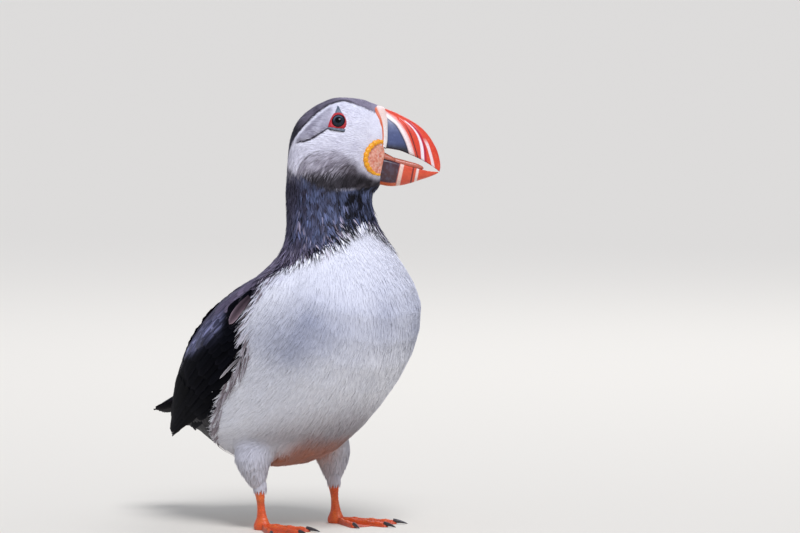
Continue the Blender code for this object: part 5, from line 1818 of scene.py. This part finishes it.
for side_name, side in SIDES:
    ankle = middle(f"tarsus_{side_name}") * (1, 1, 0)
    turn = math.radians(-90 + side * TOES_OUT)
    along = np.array([math.cos(turn), math.sin(turn), 0])
    outwards = side * np.array([-math.sin(turn), math.cos(turn), 0])
    angle = np.linspace(TOES[0][1] - 4.6, TOES[2][1] + 3.8, FOOT_ANGLES)
    share = np.linspace(0, 1, FOOT_STEPS) ** 0.9
    distance = HEEL + (toe_outline(angle)[:, None] - HEEL) * share
    bearing = np.radians(angle)[:, None] * np.ones((1, FOOT_STEPS))
    height = toe_relief(distance, np.degrees(bearing))
    side_edge = ramp(np.minimum(angle - angle[0], angle[-1] - angle), 0, 2.2)[:, None]
    rim = np.sqrt(np.clip((1 - share) * 14, 0, 1)) * np.sqrt(side_edge)
    height = EDGE_THICK + (height - EDGE_THICK) * np.maximum(rim, 0.05)
    sole = ankle + along * MM * (distance * np.cos(bearing))[..., None]
    sole = sole + outwards * MM * (distance * np.sin(bearing))[..., None]
    top = sole + np.array([0, 0, MM]) * height[..., None]
    places = top.reshape(-1, 3)
    ridge = ramp(height.ravel(), 1.3, 3.2)
    # Painted highlights on the tops of the toes.
    warm = ridge * 0.5 * ramp(noise(places, 2.5, 41), -0.4, 0.8)
    grime = 0.55 * ramp(noise(places, 4, 42), 0.25, 0.9)
    tones = foot_tones("#e2571f", (("#c94a1c", (1 - ridge) * 0.8), ("#f07a32", warm), ("#8e3a1c", grime)))
    tones = tones.reshape(top.shape)
    grid = np.concatenate([top, sole[:, ::-1]], 1)
    tones = np.concatenate([tones, tones[:, ::-1] * 0.8], 1)
    name = f"foot_skin_{side_name}"
    sculpted(name, grid, True, True, leg_material, (f"foot_{side_name}",), tones)

    # The leg above the foot, with broad plates down its front, sunk into the thigh's feathers.
    level = np.linspace(0.05, LEG_TOP, 110)
    up_share = np.clip((level - 6.3) / 15.9, 0, 1)
    radius = LEG_RADIUS - 1.0 * np.sin(math.pi * up_share)
    radius = radius + 1.7 * ramp(-level, -7.5, -2.0) - 0.5 * ramp(-level, -1.2, 0)
    radius = radius - 0.8 * ramp(level, 20, 25)
    around = np.linspace(0, 2 * math.pi, 72, endpoint=False)
    plates = 0.14 * np.exp(-(((np.mod(level, LEG_SCUTE) - LEG_SCUTE / 2) / 0.25) ** 2))
    radius = radius[:, None] - plates[:, None] * ramp(-np.sin(around), 0.1, 0.5)
    x = ankle[0] + radius * np.cos(around) * 0.82 * MM
    y = ankle[1] + (radius * np.sin(around) * 1.12 + 1.5 * (up_share[:, None] - 0.5) * 1.3) * MM
    grid = np.stack([x, y, level[:, None] * MM + 0 * x], -1)
    places = grid.reshape(-1, 3)
    warm = 0.5 * ramp(noise(places, 3, 43), -0.3, 0.8)
    grime = 0.6 * ramp(noise(places, 5, 44), 0.2, 0.9)
    tones = foot_tones("#e35a20", (("#f0803a", warm), ("#9a3f1d", grime))).reshape(grid.shape)
    name = f"leg_skin_{side_name}"
    sculpted(name, grid, True, True, leg_material, (f"tarsus_{side_name}",), tones)

    for toe_name, toe_angle, length in TOES:
        bearing = math.radians(toe_angle)
        heading = along * math.cos(bearing) + outwards * math.sin(bearing)
        across = np.cross((0, 0, 1), heading)
        s = np.linspace(0, 1, 26)
        radius = CLAW_RADIUS * (1 - s) ** 0.7 + 0.1
        level = np.maximum(CLAW_HEIGHT * (1 - 0.78 * s**1.9), radius + 0.05)
        ring = np.linspace(0, 2 * math.pi, 28, endpoint=False)
        centre = ankle + heading * (length - 2.0 + CLAW_LENGTH * s)[:, None] * MM
        spread = across * (radius[:, None] * np.cos(ring) * 0.78)[..., None]
        rise = (radius[:, None] * np.sin(ring) + level[:, None])[..., None] * np.array([0, 0, 1])
        grid = centre[:, None] + (spread + rise) * MM
        name = f"claw_horn_{side_name}_{toe_name}"
        sculpted(name, grid, True, True, claw_material, (f"claw_{side_name}_{toe_name}",))

# ---- floor, light and camera ----------------------------------------------------------------
# The bird stands on a plain sheet of matt paper in a studio, under one broad soft key light from
# its front, pale light from all round and a small lamp behind it. The lens is long.

FLOOR_REACH = 9.0  # metres
BODY_MIDDLE = Vector((0, 0, 0.12))
CAMERA_TARGET = Vector((0.0410, -0.0591, 0.1517))

corners = [(x * FLOOR_REACH, y * FLOOR_REACH, 0) for x, y in ((-1, -1), (1, -1), (1, 1), (-1, 1))]
floor_mesh = build_mesh("floor", np.array(corners), np.array([[0, 1, 2, 3]]))
# Matt paper: warm off-white without gloss, so only the bird's soft shadow shows on it.
floor_material, _, shader = new_material("matt_paper", 0.9)
shader.inputs["Base Color"].default_value = (*linear("#e2dccb"), 1)
floor_mesh.materials.append(floor_material)

world = bpy.data.worlds.new("studio")
bpy.context.scene.world = world
world.use_nodes = True
world.node_tree.nodes["Background"].inputs["Color"].default_value = (*linear("#e0e6fb"), 1)
world.node_tree.nodes["Background"].inputs["Strength"].default_value = 0.55
bpy.context.scene.view_settings.view_transform = "Standard"


def aimed(name, data, azimuth, elevation, distance, target):
    """A lamp or camera that faces a target, at these degrees round from the bird's front and up."""
    made = bpy.data.objects.new(name, data)
    bpy.context.scene.collection.objects.link(made)
    turn, rise = math.radians(azimuth), math.radians(elevation)
    away = Vector((math.sin(turn) * math.cos(rise), -math.cos(turn) * math.cos(rise), math.sin(rise)))
    made.location = target + away * distance
    made.rotation_euler = away.to_track_quat("Z", "Y").to_euler()
    return made


floor = bpy.data.objects.new("floor", floor_mesh)
bpy.context.scene.collection.objects.link(floor)

key_data = bpy.data.lights.new("key", "SUN")
key_data.energy = 2.55
key_data.angle = math.radians(25)
key_data.color = linear("#eef1ff")
aimed("key", key_data, -28, 54, 0, Vector())

rim_data = bpy.data.lights.new("rim", "AREA")
rim_data.size = 0.9
rim_data.energy = 6
rim_data.color = linear("#f4f6ff")
aimed("rim", rim_data, 120, 40, 1.8, BODY_MIDDLE)

camera_data = bpy.data.cameras.new("camera")
camera_data.lens = 300
camera_data.sensor_width = 36
camera_data.clip_end = 50
bpy.context.scene.camera = aimed("camera", camera_data, -45, 4, 3.87, CAMERA_TARGET)
